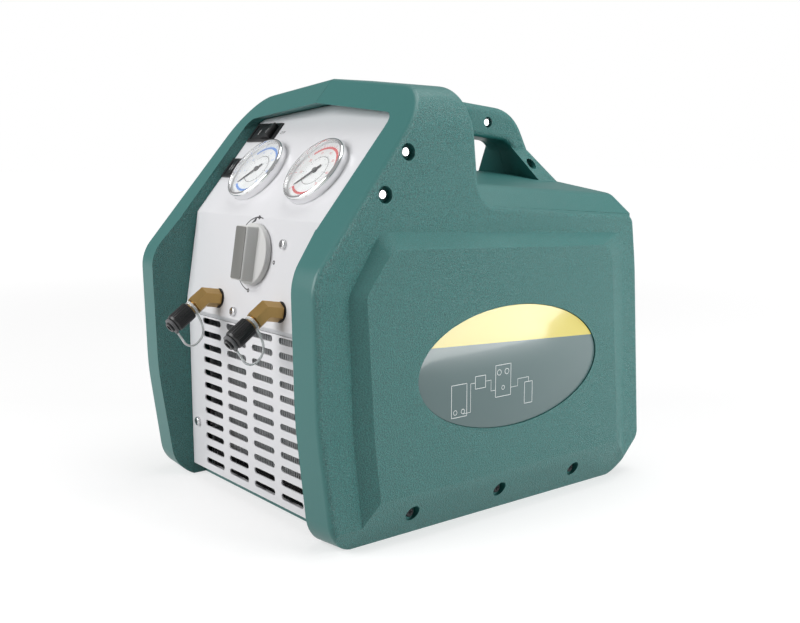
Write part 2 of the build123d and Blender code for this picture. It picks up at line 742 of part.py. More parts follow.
def base_pan():
    """Folded floor pan with side flanges for the low housing screws."""
    front, back = grille_y + bay_run + 2, rear_y - 40
    body = brick((soft_gap - pan_half_width, pan_half_width - soft_gap), (front, back),
                 (pan_top - pan_sheet, pan_top))
    side = pan_half_width - soft_gap
    flange = brick((side - pan_sheet, side), (front, back), (pan_top - 1, 32))
    body = body + flange + mirror(flange, about=Plane.YZ)
    for y, z, face, inner in shell_screw_places()[2:]:
        hole = side_bore(y, z, 50, half_width, screw_diameter / 2 + fit)
        body = body - hole - mirror(hole, about=Plane.YZ)
    return body


def condenser_core():
    """Fin pack, grooved in front."""
    count = int(2 * core_half_width / fin_pitch)
    start = -count * fin_pitch / 2
    points = [(-core_half_width, core_back), (-core_half_width, core_front)]
    for i in range(count):
        x = start + i * fin_pitch
        points += [(x, core_front), (x, core_front + fin_groove)]
        points += [(x + fin_gap, core_front + fin_groove), (x + fin_gap, core_front)]
    points += [(core_half_width, core_front), (core_half_width, core_back)]
    plan = make_face(Polyline(*points, close=True))
    return extrude(Plane.XY.offset(core_foot) * plan, amount=grille_top - 2 - core_foot)


def condenser_plates():
    """End plates of the fin pack, standing on the pan."""
    plates = []
    for side in (-1, 1):
        inner = core_half_width + soft_gap
        edge = sorted((side * inner, side * (inner + 1.5)))
        foot = sorted((side * (inner + 1), side * (inner + 14)))
        plate = brick(edge, (core_front - 1, core_back + 6), (pan_top + 0.2, grille_top - 1))
        plate += brick(foot, (core_front + 3, core_back + 6), (pan_top + 0.2, pan_top + 1.7))
        for x, z in grille_screw_places():
            if x * side > 0:
                tab = sorted((side * (inner + 0.5), x - side * 6))
                plate += brick(tab, (core_front - 2.5, core_front - 1), (z - 7, z + 7))
                bore = Plane(origin=(x, core_front + 5, z), z_dir=(0, -1, 0))
                plate -= post(bore, screw_diameter / 2 + fit, 20)
        plates.append(plate)
    return Compound(plates)


def condenser_bends():
    """Copper return bends outside the end plates."""
    bend_radius = 11.0
    rows = int((grille_top - core_foot - 30) / (2.6 * bend_radius))
    bends = []
    for side in (-1, 1):
        for row in range(rows):
            z = core_foot + 14 + row * 2.6 * bend_radius
            x = side * (core_half_width + soft_gap + 1.5 + 0.2)
            y = (core_front + core_back) / 2
            start, end = Vector(x, y, z), Vector(x, y, z + 2 * bend_radius)
            middle = Vector(x + side * bend_radius, y, z + bend_radius)
            path = ThreePointArc(start, middle, end)
            bends.append(sweep(Plane(origin=start, z_dir=(side, 0, 0)) * Circle(3.5), path=path))
    return Compound(bends)


def fan_shroud():
    """Plate behind the fin pack with a ring round the fan."""
    front = core_back + 6.4
    body = brick((-core_half_width, core_half_width), (front, front + 1.5), (pan_top + 0.2, grille_top - 1))
    axis = Plane(origin=(0, front, fan_z), z_dir=(0, 1, 0))
    body += post(axis, fan_diameter / 2 + 5, 16)
    return body - post(axis.offset(-2), fan_diameter / 2 + 3, 30)


def fan_rotor():
    """Hub with pitched blades."""
    axis = Plane(origin=(0, core_back + 9, fan_z), x_dir=(1, 0, 0), z_dir=(0, 1, 0))
    rotor = Cylinder(18, 12, align=STAND)
    ring = Cylinder(fan_diameter / 2, 30, align=STAND) - Cylinder(16, 30, align=STAND)
    for i in range(fan_blades):
        turned = Rot(0, 0, 360 / fan_blades * i)
        blade = turned * Pos(fan_diameter / 4, 0, 6) * Rot(28, 0, 0) * Box(fan_diameter / 2 + 10, 34, 1.8)
        trim = turned * Pos(fan_diameter / 4 + 6, 0, 6) * Box(fan_diameter / 2, 40, 11.9)
        rotor += (blade & ring) & trim
    return axis * (rotor - Pos(0, 0, -1) * Cylinder(3 + fit, 20, align=STAND))


def fan_motor():
    """Small motor on a foot, its shaft through the hub."""
    back = core_back + 9 + 12 + 3
    axis = Plane(origin=(0, back, fan_z), z_dir=(0, 1, 0))
    body = post(axis, motor_diameter / 2, 32)
    shaft = post(axis.offset(-14), 3, 20)
    foot = brick((-16, 16), (back + 8, back + 11), (pan_top + 0.2, fan_z))
    sole = brick((-22, 22), (back + 2, back + 26), (pan_top + 0.2, pan_top + 2.2))
    return body + shaft + foot + sole


def compressor():
    """Oilless compressor: crankcase with two finned heads, motor behind, on a cradle plate."""
    case = brick((-38, 38), (comp_front, comp_front + 62), (comp_z - 38, comp_z + 38))
    case = fillet(case.edges().filter_by(Axis.Y), 8)
    body = case
    for side in (-1, 1):
        head_x = [side * (36 + 6 * i) for i in range(6)]
        body += Pos(side * 52, comp_front + 31, comp_z) * Rot(0, 90, 0) * Cylinder(22, 40)
        for x in head_x:
            body += Pos(x, comp_front + 31, comp_z) * Box(2, 54, 54)
        body += Pos(side * 74, comp_front + 31, comp_z) * Box(8, 54, 54)
    axis = Plane(origin=(0, comp_front + 61, comp_z), z_dir=(0, 1, 0))
    motor = post(axis, 56, 96)
    motor = fillet(motor.edges().filter_by(GeomType.CIRCLE), 6)
    plate_z = pan_top + 0.2 + mount_height + 0.2
    cradle = brick((-60, 60), (comp_front + 4, comp_front + 150), (plate_z, plate_z + 3))
    saddle = brick((-30, 30), (comp_front + 66, comp_front + 140), (plate_z + 1, comp_z - 40))
    stand = brick((-26, 26), (comp_front + 8, comp_front + 54), (plate_z + 1, comp_z - 30))
    return body + motor + cradle + saddle + stand


def rubber_mounts():
    """Four bushes between the pan and the cradle."""
    bushes = []
    for x in (-50, 50):
        for y in (comp_front + 16, comp_front + 138):
            bush = post(Plane(origin=(x, y, pan_top + 0.2)), 9, mount_height)
            waist = post(Plane(origin=(x, y, pan_top + 5)), 7, 6)
            bushes.append(bush - post(Plane(origin=(x, y, pan_top + 6)), 9.5, 4) + waist)
    return Compound(bushes)


def copper_lines():
    """Lines between the valve block and the compressor heads, and down to the fin pack."""
    pipes = []
    block_back = on_knob_facet(0, 60, -sheet - soft_gap - 30 - 0.2).origin
    for side in (-1, 1):
        x = side * 40
        head = Vector(side * 74, comp_front + 31, comp_z + 27.2)
        points = [Vector(x, block_back.Y, block_back.Z), Vector(x, block_back.Y + 18, block_back.Z - 3),
                  Vector(side * 74, comp_front + 5, comp_z + 80),
                  Vector(side * 74, comp_front + 31, comp_z + 74), head]
        route = FilletPolyline(*points, radius=[8, 12, 12])
        pipes.append(sweep(Plane(origin=points[0], z_dir=points[1] - points[0]) * Circle(3.2), path=route))
    return Compound(pipes)


def rear_panel():
    """Slotted sheet in the rear window, with the opening for the power inlet."""
    side = window_half_width - sheet_gap
    low, high = window_foot + sheet_gap, window_head - sheet_gap
    body = rear_plane(0) * brick((-side, side), (low, high), (-sheet, 0))
    slot = extrude(SlotOverall(slot_length, slot_height), amount=10, both=True)
    for row in range(6):
        for column in range(slot_columns):
            x = (column - (slot_columns - 1) / 2) * column_pitch
            body -= rear_plane(0) * Pos(x, high - 22 - row * slot_pitch, 0) * slot
    body -= rear_plane(0) * Pos(inlet_x, inlet_z, 0) * Box(28.4, 22.4, 20)
    for x, up in rear_screw_places():
        body -= post(rear_plane(-5) * Pos(x, up, 0), screw_hole / 2, 10)
    return body


def power_inlet():
    """Mains inlet with three flat pins in a recess."""
    place = rear_plane(0) * Pos(inlet_x, inlet_z, 0)
    flange = place * brick((-24, 24), (-15, 15), (0.2, 3))
    body = flange + place * brick((-14, 14), (-11, 11), (-22, 1))
    body -= place * brick((-12, 12), (-8.5, 8.5), (-16, 10))
    for x, y in ((-7, -2), (7, -2), (0, 2.5)):
        body += place * brick((x - 1, x + 1), (y - 2, y + 2), (-17, -2))
    return body


def capacitor():
    """Motor capacitor standing on the pan in a clip."""
    base = Plane(origin=(can_x, capacitor_y, pan_top + soft_gap))
    return fillet(post(base, 19, 74).edges().filter_by(GeomType.CIRCLE), 2)


def capacitor_clip():
    base = Plane(origin=(can_x, capacitor_y, pan_top + 0.2))
    ring = post(base, 21.5, 22) - post(base.offset(-1), 19.3, 30)
    tab = brick((can_x - 9, can_x + 9), (capacitor_y - 34, capacitor_y - 20), (pan_top + 0.2, pan_top + 2.2))
    return ring + tab


def pan_screw(place, length):
    """Pan head screw with a cross recess; place is under its head, facing outwards."""
    head = post(Plane.XY, screw_head / 2, head_height)
    head = fillet(head.edges().filter_by(GeomType.CIRCLE).sort_by(Axis.Z)[-1:], 1.4)
    shank = post(Plane.XY.offset(-length), screw_diameter / 2, length)
    cross = Pos(0, 0, head_height) * (Box(4.2, 0.9, 2.4) + Box(0.9, 4.2, 2.4))
    return place * (head + shank - cross)


def side_screws(places, depth, length, sides):
    screws = []
    for y, z, face, *rest in places:
        screw = pan_screw(across(face - depth + 0.1) * Pos(y, z, 0), length)
        screws += [screw if side > 0 else mirror(screw, about=Plane.YZ) for side in sides]
    return Compound(screws)


def tower_screws():
    return side_screws(shell_screw_places()[:2], counterbore_depth, 32, (-1, 1))


def foot_screws():
    return side_screws(shell_screw_places()[2:], counterbore_depth, 24, (-1, 1))


def handle_screws():
    return side_screws(handle_screw_places(), 5, 26, (1,))


def panel_screws():
    """Screws of the control panel and the grille."""
    screws = [pan_screw(on_knob_facet(x, down, 0.1), 9) for x, down in panel_screw_places()]
    for x, z in grille_screw_places():
        screws.append(pan_screw(Plane(origin=(x, grille_y - 0.1, z), z_dir=(0, -1, 0)), 15.5))
    return Compound(screws)


def rear_screws():
    return Compound([pan_screw(rear_plane(0.1) * Pos(x, up, 0), 8) for x, up in rear_screw_places()])


def parts():
    """Every sub-part by name."""
    made = {
        "shell_right": shell_right(), "shell_left": shell_left(), "label_plate": label_plate(),
        "control_panel": control_panel(), "front_grille": front_grille(),
        "valve_knob": valve_knob(), "valve_stem": valve_stem(), "valve_block": valve_block(),
        "port_grommets": port_grommets(), "base_pan": base_pan(), "condenser_core": condenser_core(),
        "condenser_plates": condenser_plates(), "condenser_bends": condenser_bends(),
        "fan_shroud": fan_shroud(), "fan_rotor": fan_rotor(), "fan_motor": fan_motor(),
        "compressor": compressor(), "rubber_mounts": rubber_mounts(), "copper_lines": copper_lines(),
        "rear_panel": rear_panel(), "power_inlet": power_inlet(), "capacitor": capacitor(),
        "capacitor_clip": capacitor_clip(), "tower_screws": tower_screws(), "foot_screws": foot_screws(),
        "handle_screws": handle_screws(), "panel_screws": panel_screws(), "rear_screws": rear_screws(),
        "power_switch_body": switch_body(power_x, power_up, power_length),
        "power_rocker": switch_rocker(power_x, power_up, power_length),
        "start_switch_body": switch_body(start_x, start_up, switch_width),
        "start_rocker": switch_rocker(start_x, start_up, switch_width),
    }
    for name, x in (("low", -gauge_x), ("high", gauge_x)):
        made[name + "_gauge_case"] = gauge_case(x)
        made[name + "_dial"] = gauge_dial(x)
        made[name + "_needle"] = gauge_needle(x)
        made[name + "_lens"] = gauge_lens(x)
    for name, x in zip(("inlet", "outlet"), port_x):
        made[name + "_port"] = flare_port(x)
        made[name + "_cap"] = flare_cap(x)
        made[name + "_cap_ring"] = cap_ring(x)
        made[name + "_strap"] = cap_strap(x)
    return made


if __name__ == "__main__":
    os.makedirs("parts", exist_ok=True)
    for name, shape in parts().items():
        export_step(shape, f"parts/{name}.step")
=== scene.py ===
import json
import math

import bmesh
import bpy
from bpy.props import BoolProperty, FloatProperty, FloatVectorProperty, IntProperty, PointerProperty
from mathutils import Matrix, Vector


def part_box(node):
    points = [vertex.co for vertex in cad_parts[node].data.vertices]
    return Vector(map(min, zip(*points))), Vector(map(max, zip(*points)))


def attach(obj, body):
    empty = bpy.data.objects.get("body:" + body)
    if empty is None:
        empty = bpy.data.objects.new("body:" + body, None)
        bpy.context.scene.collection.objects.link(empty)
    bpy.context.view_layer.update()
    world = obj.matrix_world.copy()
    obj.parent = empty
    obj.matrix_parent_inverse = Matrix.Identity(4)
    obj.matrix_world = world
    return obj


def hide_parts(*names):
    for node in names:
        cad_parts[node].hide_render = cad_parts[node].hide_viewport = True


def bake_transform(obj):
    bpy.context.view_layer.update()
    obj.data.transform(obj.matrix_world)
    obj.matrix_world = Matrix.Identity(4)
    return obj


bl_info = {
    "name": "Recovery Station",
    "version": (1, 0, 0),
    "blender": (4, 5, 0),
    "location": "View3D > Sidebar > Station",
    "description": "Builds the finish, controls and stage of a portable refrigerant recovery station",
    "category": "Object",
}

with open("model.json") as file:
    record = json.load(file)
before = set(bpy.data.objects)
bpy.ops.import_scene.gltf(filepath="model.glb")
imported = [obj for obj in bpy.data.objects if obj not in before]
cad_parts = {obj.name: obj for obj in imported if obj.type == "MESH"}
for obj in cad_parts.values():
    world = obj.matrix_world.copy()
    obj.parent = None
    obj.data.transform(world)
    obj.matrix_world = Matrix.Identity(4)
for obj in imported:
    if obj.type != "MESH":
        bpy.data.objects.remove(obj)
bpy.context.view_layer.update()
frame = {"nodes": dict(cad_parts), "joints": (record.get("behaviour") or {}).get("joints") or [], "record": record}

MM = 0.001
UP = Vector((0, 0, 1))
JOINTS = {joint["name"]: joint for joint in frame["joints"]}
BODY_OF = {node: body for body, nodes in frame["record"]["behaviour"]["bodies"].items() for node in nodes}
SIDES = ("low", "high")
PORTS = ("inlet", "outlet")
SCALE_START = 225.0
SCALE_SWEEP = 270.0
STRAP_ROUTE = (
    (-0.186435, 0.145382), (-0.183233, 0.140910), (-0.179235, 0.133782), (-0.170435, 0.132182),
    (-0.161635, 0.141482), (-0.164207, 0.154532), (-0.168572, 0.160630),
)


# Places on the object, read from the frame

def facing(origin, outwards, across=(1, 0, 0)):
    """Place with Z along the outward direction and X across."""
    z = Vector(outwards).normalized()
    x = Vector(across)
    x = (x - z * x.dot(z)).normalized()
    turn = Matrix((x, z.cross(x), z)).transposed().to_4x4()
    return Matrix.Translation(origin) @ turn


def joint_place(name, sign=1.0, lift=0.0):
    """Place on a joint's axis, facing along it, raised along that direction."""
    outwards = Vector(JOINTS[name]["axis"]) * sign
    return facing(Vector(JOINTS[name]["pos_m"]) + outwards.normalized() * lift, outwards)


def gauge_place(side):
    return joint_place(f"{side}_needle_turn", -1.0)


def knob_place(across=0.0, up=0.0, lift=0.0):
    """Place on the knob facet, measured from the knob's axis."""
    return joint_place("knob_turn") @ Matrix.Translation((across, up, lift))


def rocker_place(name):
    """Place on the gauge facet at a rocker's middle."""
    pivot = Vector(JOINTS[f"{name}_rocker_tip"]["pos_m"])
    outwards = -Vector(JOINTS["low_needle_turn"]["axis"])
    return facing(pivot + outwards.normalized() * 3 * MM, outwards)


def cap_place(port):
    """Place at the open end of a cap, facing out through its closed end."""
    return joint_place(f"{port}_cap_turn", lift=-4.7 * MM)


def turn(degrees, axis="Z"):
    return Matrix.Rotation(math.radians(degrees), 4, axis)


def arc(centre, radius, start, end, steps):
    """Points of an arc in a profile, angles in degrees."""
    angles = [math.radians(start + (end - start) * i / steps) for i in range(steps + 1)]
    return [(centre[0] + radius * math.cos(a), centre[1] + radius * math.sin(a)) for a in angles]


# Modelling steps

def clear():
    bpy.ops.object.select_all(action="DESELECT")


def hold(*pieces):
    """Selects only these pieces and makes the first one active."""
    clear()
    for piece in pieces:
        piece.select_set(True)
    bpy.context.view_layer.objects.active = pieces[0]


def started(name, add, **sizes):
    """A named primitive with nothing else selected."""
    clear()
    add(**sizes)
    bpy.context.object.name = name
    return bpy.context.object


def edit(piece):
    hold(piece)
    bpy.ops.object.mode_set(mode="EDIT")


def leave():
    bpy.ops.object.mode_set(mode="OBJECT")


def pick(piece, kind, test):
    """In edit mode, selects only the faces, edges or points that pass the test."""
    bpy.ops.mesh.select_mode(type=kind)
    bpy.ops.mesh.select_all(action="DESELECT")
    shape = bmesh.from_edit_mesh(piece.data)
    items = {"FACE": shape.faces, "EDGE": shape.edges, "VERT": shape.verts}[kind]
    for item in items:
        if test(item):
            item.select_set(True)
    shape.select_flush_mode()
    bmesh.update_edit_mesh(piece.data)


def close_seams():
    bpy.ops.mesh.select_all(action="SELECT")
    bpy.ops.mesh.remove_doubles(threshold=1e-6)
    bpy.ops.mesh.normals_make_consistent(inside=False)


def traced(name, points):
    """A line of edges drawn from point to point, left in edit mode."""
    piece = started(name, bpy.ops.mesh.primitive_plane_add, size=MM)
    bpy.ops.object.mode_set(mode="EDIT")
    bpy.ops.mesh.select_mode(type="VERT")
    bpy.ops.mesh.select_all(action="SELECT")
    bpy.ops.mesh.merge(type="CENTER")
    bpy.ops.transform.translate(value=points[0])
    for here, there in zip(points, points[1:]):
        step = Vector(there) - Vector(here)
        bpy.ops.mesh.extrude_region_move(TRANSFORM_OT_translate={"value": step})
    return piece


def turned(name, profile, steps=64, smooth=35.0):
    """Round piece from a profile of radius and height, in millimetres."""
    piece = traced(name, [(r * MM, 0, z * MM) for r, z in profile])
    bpy.ops.mesh.select_all(action="SELECT")
    bpy.ops.mesh.spin(steps=steps, angle=math.tau, center=(0, 0, 0), axis=(0, 0, 1))
    close_seams()
    leave()
    return smoothed(piece, smooth)


def band(name, inner, outer, start, sweep, steps):
    """Flat ring or part of one, angles in degrees from across, anticlockwise."""
    first = math.radians(start)
    line = [(r * MM * math.cos(first), r * MM * math.sin(first), 0) for r in (inner, outer)]
    piece = traced(name, line)
    bpy.ops.mesh.select_all(action="SELECT")
    bpy.ops.mesh.spin(steps=steps, angle=math.radians(sweep), center=(0, 0, 0), axis=(0, 0, 1))
    close_seams()
    leave()
    return face_up(piece)


def flat(name, outline, thickness=0.0):
    """Flat piece from an outline in millimetres, thickened upwards where asked."""
    piece = traced(name, [(x * MM, y * MM, 0) for x, y in outline])
    bpy.ops.mesh.select_all(action="SELECT")
    bpy.ops.mesh.edge_face_add()
    if thickness:
        bpy.ops.mesh.extrude_region_move(TRANSFORM_OT_translate={"value": (0, 0, thickness * MM)})
        close_seams()
    leave()
    return piece if thickness else face_up(piece)


def face_up(piece):
    """Turns a flat piece's faces to look along Z."""
    if piece.data.polygons[0].normal.z < 0:
        edit(piece)
        bpy.ops.mesh.select_all(action="SELECT")
        bpy.ops.mesh.flip_normals()
        leave()
    return piece


def smoothed(piece, angle):
    hold(piece)
    bpy.ops.object.shade_smooth_by_angle(angle=math.radians(angle))
    return piece


def bevelled(piece, width, segments=3, angle=40.0):
    """Rounds the sharp edges with an applied bevel."""
    hold(piece)
    modifier = piece.modifiers.new("Bevel", "BEVEL")
    modifier.width = width
    modifier.segments = segments
    modifier.limit_method = "ANGLE"
    modifier.angle_limit = math.radians(angle)
    bpy.ops.object.modifier_apply(modifier=modifier.name)
    return smoothed(piece, 35.0)


def settle(piece, place):
    """Moves a piece to its place and keeps the place in its mesh."""
    hold(piece)
    piece.matrix_world = place
    bpy.ops.object.transform_apply(location=True, rotation=True, scale=True)
    return piece


def joined(pieces, name):
    hold(*pieces)
    if len(pieces) > 1:
        bpy.ops.object.join()
    pieces[0].name = name
    return pieces[0]


def repeated(piece, places, name):
    """Copies of a piece, each with its own mesh, joined into one."""
    copies = []
    for place in places:
        twin = piece.copy()
        twin.data = piece.data.copy()
        twin.data.transform(place)
        bpy.context.collection.objects.link(twin)
        copies.append(twin)
    bpy.data.objects.remove(piece)
    return joined(copies, name)


def lettering(name, words, size):
    """Flat letters or figures as a mesh, centred on the origin."""
    text = started(name, bpy.ops.object.text_add)
    text.data.body = words
    text.data.size = size
    text.data.resolution_u = 4
    text.data.align_x = "CENTER"
    text.data.align_y = "CENTER"
    bpy.ops.object.convert(target="MESH")
    piece = bpy.context.object
    piece.name = name
    return piece


def stroke(name, start, end, width):
    """Straight printed line between two points in millimetres."""
    a, b = Vector((*start, 0)) * MM, Vector((*end, 0)) * MM
    along = (b - a).normalized()
    piece = started(name, bpy.ops.mesh.primitive_plane_add, size=1.0)
    piece.scale = ((b - a).length + width * MM, width * MM, 1)
    return settle(piece, facing((a + b) / 2, UP, along) @ Matrix.Diagonal((*piece.scale, 1)))


def put(piece, body, slot, material, *nodes):
    """Gives a piece its material, the body it rides on and the nodes it stands for."""
    piece.data.materials.clear()
    piece.data.materials.append(material)
    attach(piece, body)
    if nodes:
        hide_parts(*nodes)
    return piece


def skin(node, slot, material, angle=32.0):
    """A merged, smooth copy of a CAD node that stands for it."""
    source = frame["nodes"][node]
    piece = source.copy()
    piece.data = source.data.copy()
    for key in list(piece.keys()):
        if key.startswith("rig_"):
            del piece[key]
    piece.parent = None
    bpy.context.collection.objects.link(piece)
    piece.name = f"{node}_skin"
    edit(piece)
    bpy.ops.mesh.select_all(action="SELECT")
    bpy.ops.mesh.customdata_custom_splitnormals_clear()
    bpy.ops.mesh.remove_doubles(threshold=2e-6)
    leave()
    smoothed(piece, angle)
    weighted = piece.modifiers.new("Even Normals", "WEIGHTED_NORMAL")
    weighted.keep_sharp = True
    bpy.ops.object.modifier_apply(modifier=weighted.name)
    return put(piece, BODY_OF[node], slot, material, node)


# Shared effects

def new_group(name, inputs, outputs):
    """Shader node group with named sockets; returns the tree and its two end nodes."""
    tree = bpy.data.node_groups.new(name, "ShaderNodeTree")
    for label, kind, value in inputs:
        socket = tree.interface.new_socket(label, in_out="INPUT", socket_type=kind)
        if value is not None:
            socket.default_value = value
    for label, kind in outputs:
        tree.interface.new_socket(label, in_out="OUTPUT", socket_type=kind)
    return tree, tree.nodes.new("NodeGroupInput"), tree.nodes.new("NodeGroupOutput")


def math_node(tree, operation, first, second=None, third=None):
    node = tree.nodes.new("ShaderNodeMath")
    node.operation = operation
    for i, value in enumerate((first, second, third)):
        if value is None:
            continue
        if isinstance(value, (int, float)):
            node.inputs[i].default_value = value
        else:
            tree.links.new(value, node.inputs[i])
    return node.outputs[0]


def moulded_grain():
    """Spark-eroded grain of a moulded plastic face: a height and a faint shade."""
    if "Moulded Grain" in bpy.data.node_groups:
        return bpy.data.node_groups["Moulded Grain"]
    tree, source, result = new_group(
        "Moulded Grain",
        [("Vector", "NodeSocketVector", None), ("Grains per Metre", "NodeSocketFloat", 700.0)],
        [("Height", "NodeSocketFloat"), ("Shade", "NodeSocketFloat")])
    coarse = tree.nodes.new("ShaderNodeTexNoise")
    coarse.inputs["Detail"].default_value = 3.0
    coarse.inputs["Roughness"].default_value = 0.6
    cells = tree.nodes.new("ShaderNodeTexVoronoi")
    cells.feature = "F1"
    finer = math_node(tree, "MULTIPLY", source.outputs["Grains per Metre"], 1.35)
    for texture, scale in ((coarse, source.outputs["Grains per Metre"]), (cells, finer)):
        tree.links.new(source.outputs["Vector"], texture.inputs["Vector"])
        tree.links.new(scale, texture.inputs["Scale"])
    pits = math_node(tree, "MULTIPLY", cells.outputs["Distance"], 0.55)
    height = math_node(tree, "ADD", coarse.outputs["Fac"], pits)
    tree.links.new(height, result.inputs["Height"])
    tree.links.new(coarse.outputs["Fac"], result.inputs["Shade"])
    return tree


def uneven_tone():
    """A colour that drifts a little over the surface."""
    if "Uneven Tone" in bpy.data.node_groups:
        return bpy.data.node_groups["Uneven Tone"]
    tree, source, result = new_group(
        "Uneven Tone",
        [("Vector", "NodeSocketVector", None), ("Colour", "NodeSocketColor", (1, 1, 1, 1)),
         ("Patches per Metre", "NodeSocketFloat", 18.0), ("Amount", "NodeSocketFloat", 0.06)],
        [("Colour", "NodeSocketColor")])
    noise = tree.nodes.new("ShaderNodeTexNoise")
    noise.inputs["Detail"].default_value = 4.0
    tree.links.new(source.outputs["Vector"], noise.inputs["Vector"])
    tree.links.new(source.outputs["Patches per Metre"], noise.inputs["Scale"])
    centred = math_node(tree, "SUBTRACT", noise.outputs["Fac"], 0.5)
    factor = math_node(tree, "MULTIPLY_ADD", centred, source.outputs["Amount"], 1.0)
    scaled = tree.nodes.new("ShaderNodeVectorMath")
    scaled.operation = "SCALE"
    tree.links.new(source.outputs["Colour"], scaled.inputs[0])
    tree.links.new(factor, scaled.inputs["Scale"])
    tree.links.new(scaled.outputs["Vector"], result.inputs["Colour"])
    return tree


def brushed_streaks():
    """Fine drawn lines in metal: a height and a roughness."""
    if "Brushed Streaks" in bpy.data.node_groups:
        return bpy.data.node_groups["Brushed Streaks"]
    tree, source, result = new_group(
        "Brushed Streaks",
        [("Vector", "NodeSocketVector", None), ("Lines per Metre", "NodeSocketFloat", 900.0),
         ("Roughness", "NodeSocketFloat", 0.3)],
        [("Height", "NodeSocketFloat"), ("Roughness", "NodeSocketFloat")])
    mapping = tree.nodes.new("ShaderNodeMapping")
    mapping.inputs["Scale"].default_value = (1.0, 1.0, 0.06)
    noise = tree.nodes.new("ShaderNodeTexNoise")
    noise.inputs["Detail"].default_value = 2.0
    tree.links.new(source.outputs["Vector"], mapping.inputs["Vector"])
    tree.links.new(mapping.outputs["Vector"], noise.inputs["Vector"])
    tree.links.new(source.outputs["Lines per Metre"], noise.inputs["Scale"])
    spread = math_node(tree, "MULTIPLY_ADD", noise.outputs["Fac"], 0.16, -0.08)
    rough = math_node(tree, "ADD", source.outputs["Roughness"], spread)
    tree.links.new(noise.outputs["Fac"], result.inputs["Height"])
    tree.links.new(rough, result.inputs["Roughness"])
    return tree


# Materials

def bare(name, colour, roughness, **sockets):
    """Material with constants set on its shader; socket names use underscores for spaces."""
    material = bpy.data.materials.new(name)
    material.use_nodes = True
    shader = material.node_tree.nodes["Principled BSDF"]
    shader.inputs["Base Color"].default_value = (*colour, 1)
    shader.inputs["Roughness"].default_value = roughness
    for label, value in sockets.items():
        shader.inputs[label.replace("_", " ")].default_value = value
    return material


def effect(material, tree, **inputs):
    """Places a shared effect in a material, on its Object coordinates."""
    nodes, links = material.node_tree.nodes, material.node_tree.links
    coordinates = nodes.get("Texture Coordinate") or nodes.new("ShaderNodeTexCoord")
    group = nodes.new("ShaderNodeGroup")
    group.node_tree = tree
    links.new(coordinates.outputs["Object"], group.inputs["Vector"])
    for label, value in inputs.items():
        group.inputs[label.replace("_", " ")].default_value = value
    return group


def tinted(material, colour, amount=0.06, patches=18.0):
    """Lets the base colour drift a little."""
    group = effect(material, uneven_tone(), Colour=(*colour, 1), Amount=amount, Patches_per_Metre=patches)
    shader = material.node_tree.nodes["Principled BSDF"]
    material.node_tree.links.new(group.outputs["Colour"], shader.inputs["Base Color"])
    return material


def bumped(material, height, strength, distance):
    nodes, links = material.node_tree.nodes, material.node_tree.links
    bump = nodes.new("ShaderNodeBump")
    bump.inputs["Distance"].default_value = distance
    if isinstance(strength, float):
        bump.inputs["Strength"].default_value = strength
    else:
        links.new(strength, bump.inputs["Strength"])
    links.new(height, bump.inputs["Height"])
    links.new(bump.outputs["Normal"], nodes["Principled BSDF"].inputs["Normal"])
    return material


def grained(material, per_metre=900.0, strength=0.3, distance=0.2 * MM):
    group = effect(material, moulded_grain(), Grains_per_Metre=per_metre)
    return bumped(material, group.outputs["Height"], strength, distance)


def brushed(material, lines=900.0, roughness=0.3, strength=0.15):
    group = effect(material, brushed_streaks(), Lines_per_Metre=lines, Roughness=roughness)
    shader = material.node_tree.nodes["Principled BSDF"]
    material.node_tree.links.new(group.outputs["Roughness"], shader.inputs["Roughness"])
    return bumped(material, group.outputs["Height"], strength, 0.05 * MM)


def shell_green(settings):
    """Green moulded plastic: coarse grain on the sides, a finer one on the band round the front; the grain's tone
    in the colour, strongest on the sides, also paints in the glints of gloss on the grain.
    """
    colour = tuple(settings.green)
    material = bare("Shell Green", colour, settings.roughness, IOR=1.5, Specular_IOR_Level=0.65)
    tree = material.node_tree
    shader = tree.nodes["Principled BSDF"]
    drift = effect(material, uneven_tone(), Colour=(*colour, 1), Amount=0.05, Patches_per_Metre=9.0)
    group = effect(material, moulded_grain(), Grains_per_Metre=settings.grains)
    geometry = tree.nodes.new("ShaderNodeNewGeometry")
    split = tree.nodes.new("ShaderNodeSeparateXYZ")
    tree.links.new(geometry.outputs["Normal"], split.inputs["Vector"])
    sideways = math_node(tree, "ABSOLUTE", split.outputs["X"])
    ramp = tree.nodes.new("ShaderNodeMapRange")
    ramp.inputs["From Min"].default_value = 0.45
    ramp.inputs["From Max"].default_value = 0.85
    ramp.inputs["To Min"].default_value = settings.band_grain
    ramp.inputs["To Max"].default_value = settings.side_grain
    tree.links.new(sideways, ramp.inputs["Value"])
    # Painted glints: the grain's noise lightens and darkens the base colour, most on the sides; partly the grain's
    # own tone, partly painted glints of the gloss on the grain.
    centred = math_node(tree, "SUBTRACT", group.outputs["Shade"], 0.5)
    mottle_and_glints = math_node(tree, "MULTIPLY", ramp.outputs["Result"], settings.mottle_and_glints)
    scale = math_node(tree, "MULTIPLY_ADD", centred, mottle_and_glints, 1.0)
    speckled_with_glints = tree.nodes.new("ShaderNodeVectorMath")
    speckled_with_glints.operation = "SCALE"
    tree.links.new(drift.outputs["Colour"], speckled_with_glints.inputs[0])
    tree.links.new(scale, speckled_with_glints.inputs["Scale"])
    tree.links.new(speckled_with_glints.outputs["Vector"], shader.inputs["Base Color"])
    return bumped(material, group.outputs["Height"], ramp.outputs["Result"], settings.grain_depth)


def panel_paint(colour):
    material = tinted(bare("Panel Paint", colour, 0.34, Coat_Weight=0.15), colour, 0.015, 30.0)
    return grained(material, 2600.0, 0.05, 0.04 * MM)


def print_ink(name, colour):
    return tinted(bare(name, colour, 0.45), colour, 0.03, 60.0)


def black_plastic():
    colour = (0.016, 0.016, 0.017)
    return grained(tinted(bare("Black Plastic", colour, 0.32), colour), 1500.0, 0.1, 0.05 * MM)


def black_rubber():
    colour = (0.021, 0.02, 0.02)
    return grained(tinted(bare("Black Rubber", colour, 0.55), colour), 1200.0, 0.2, 0.08 * MM)


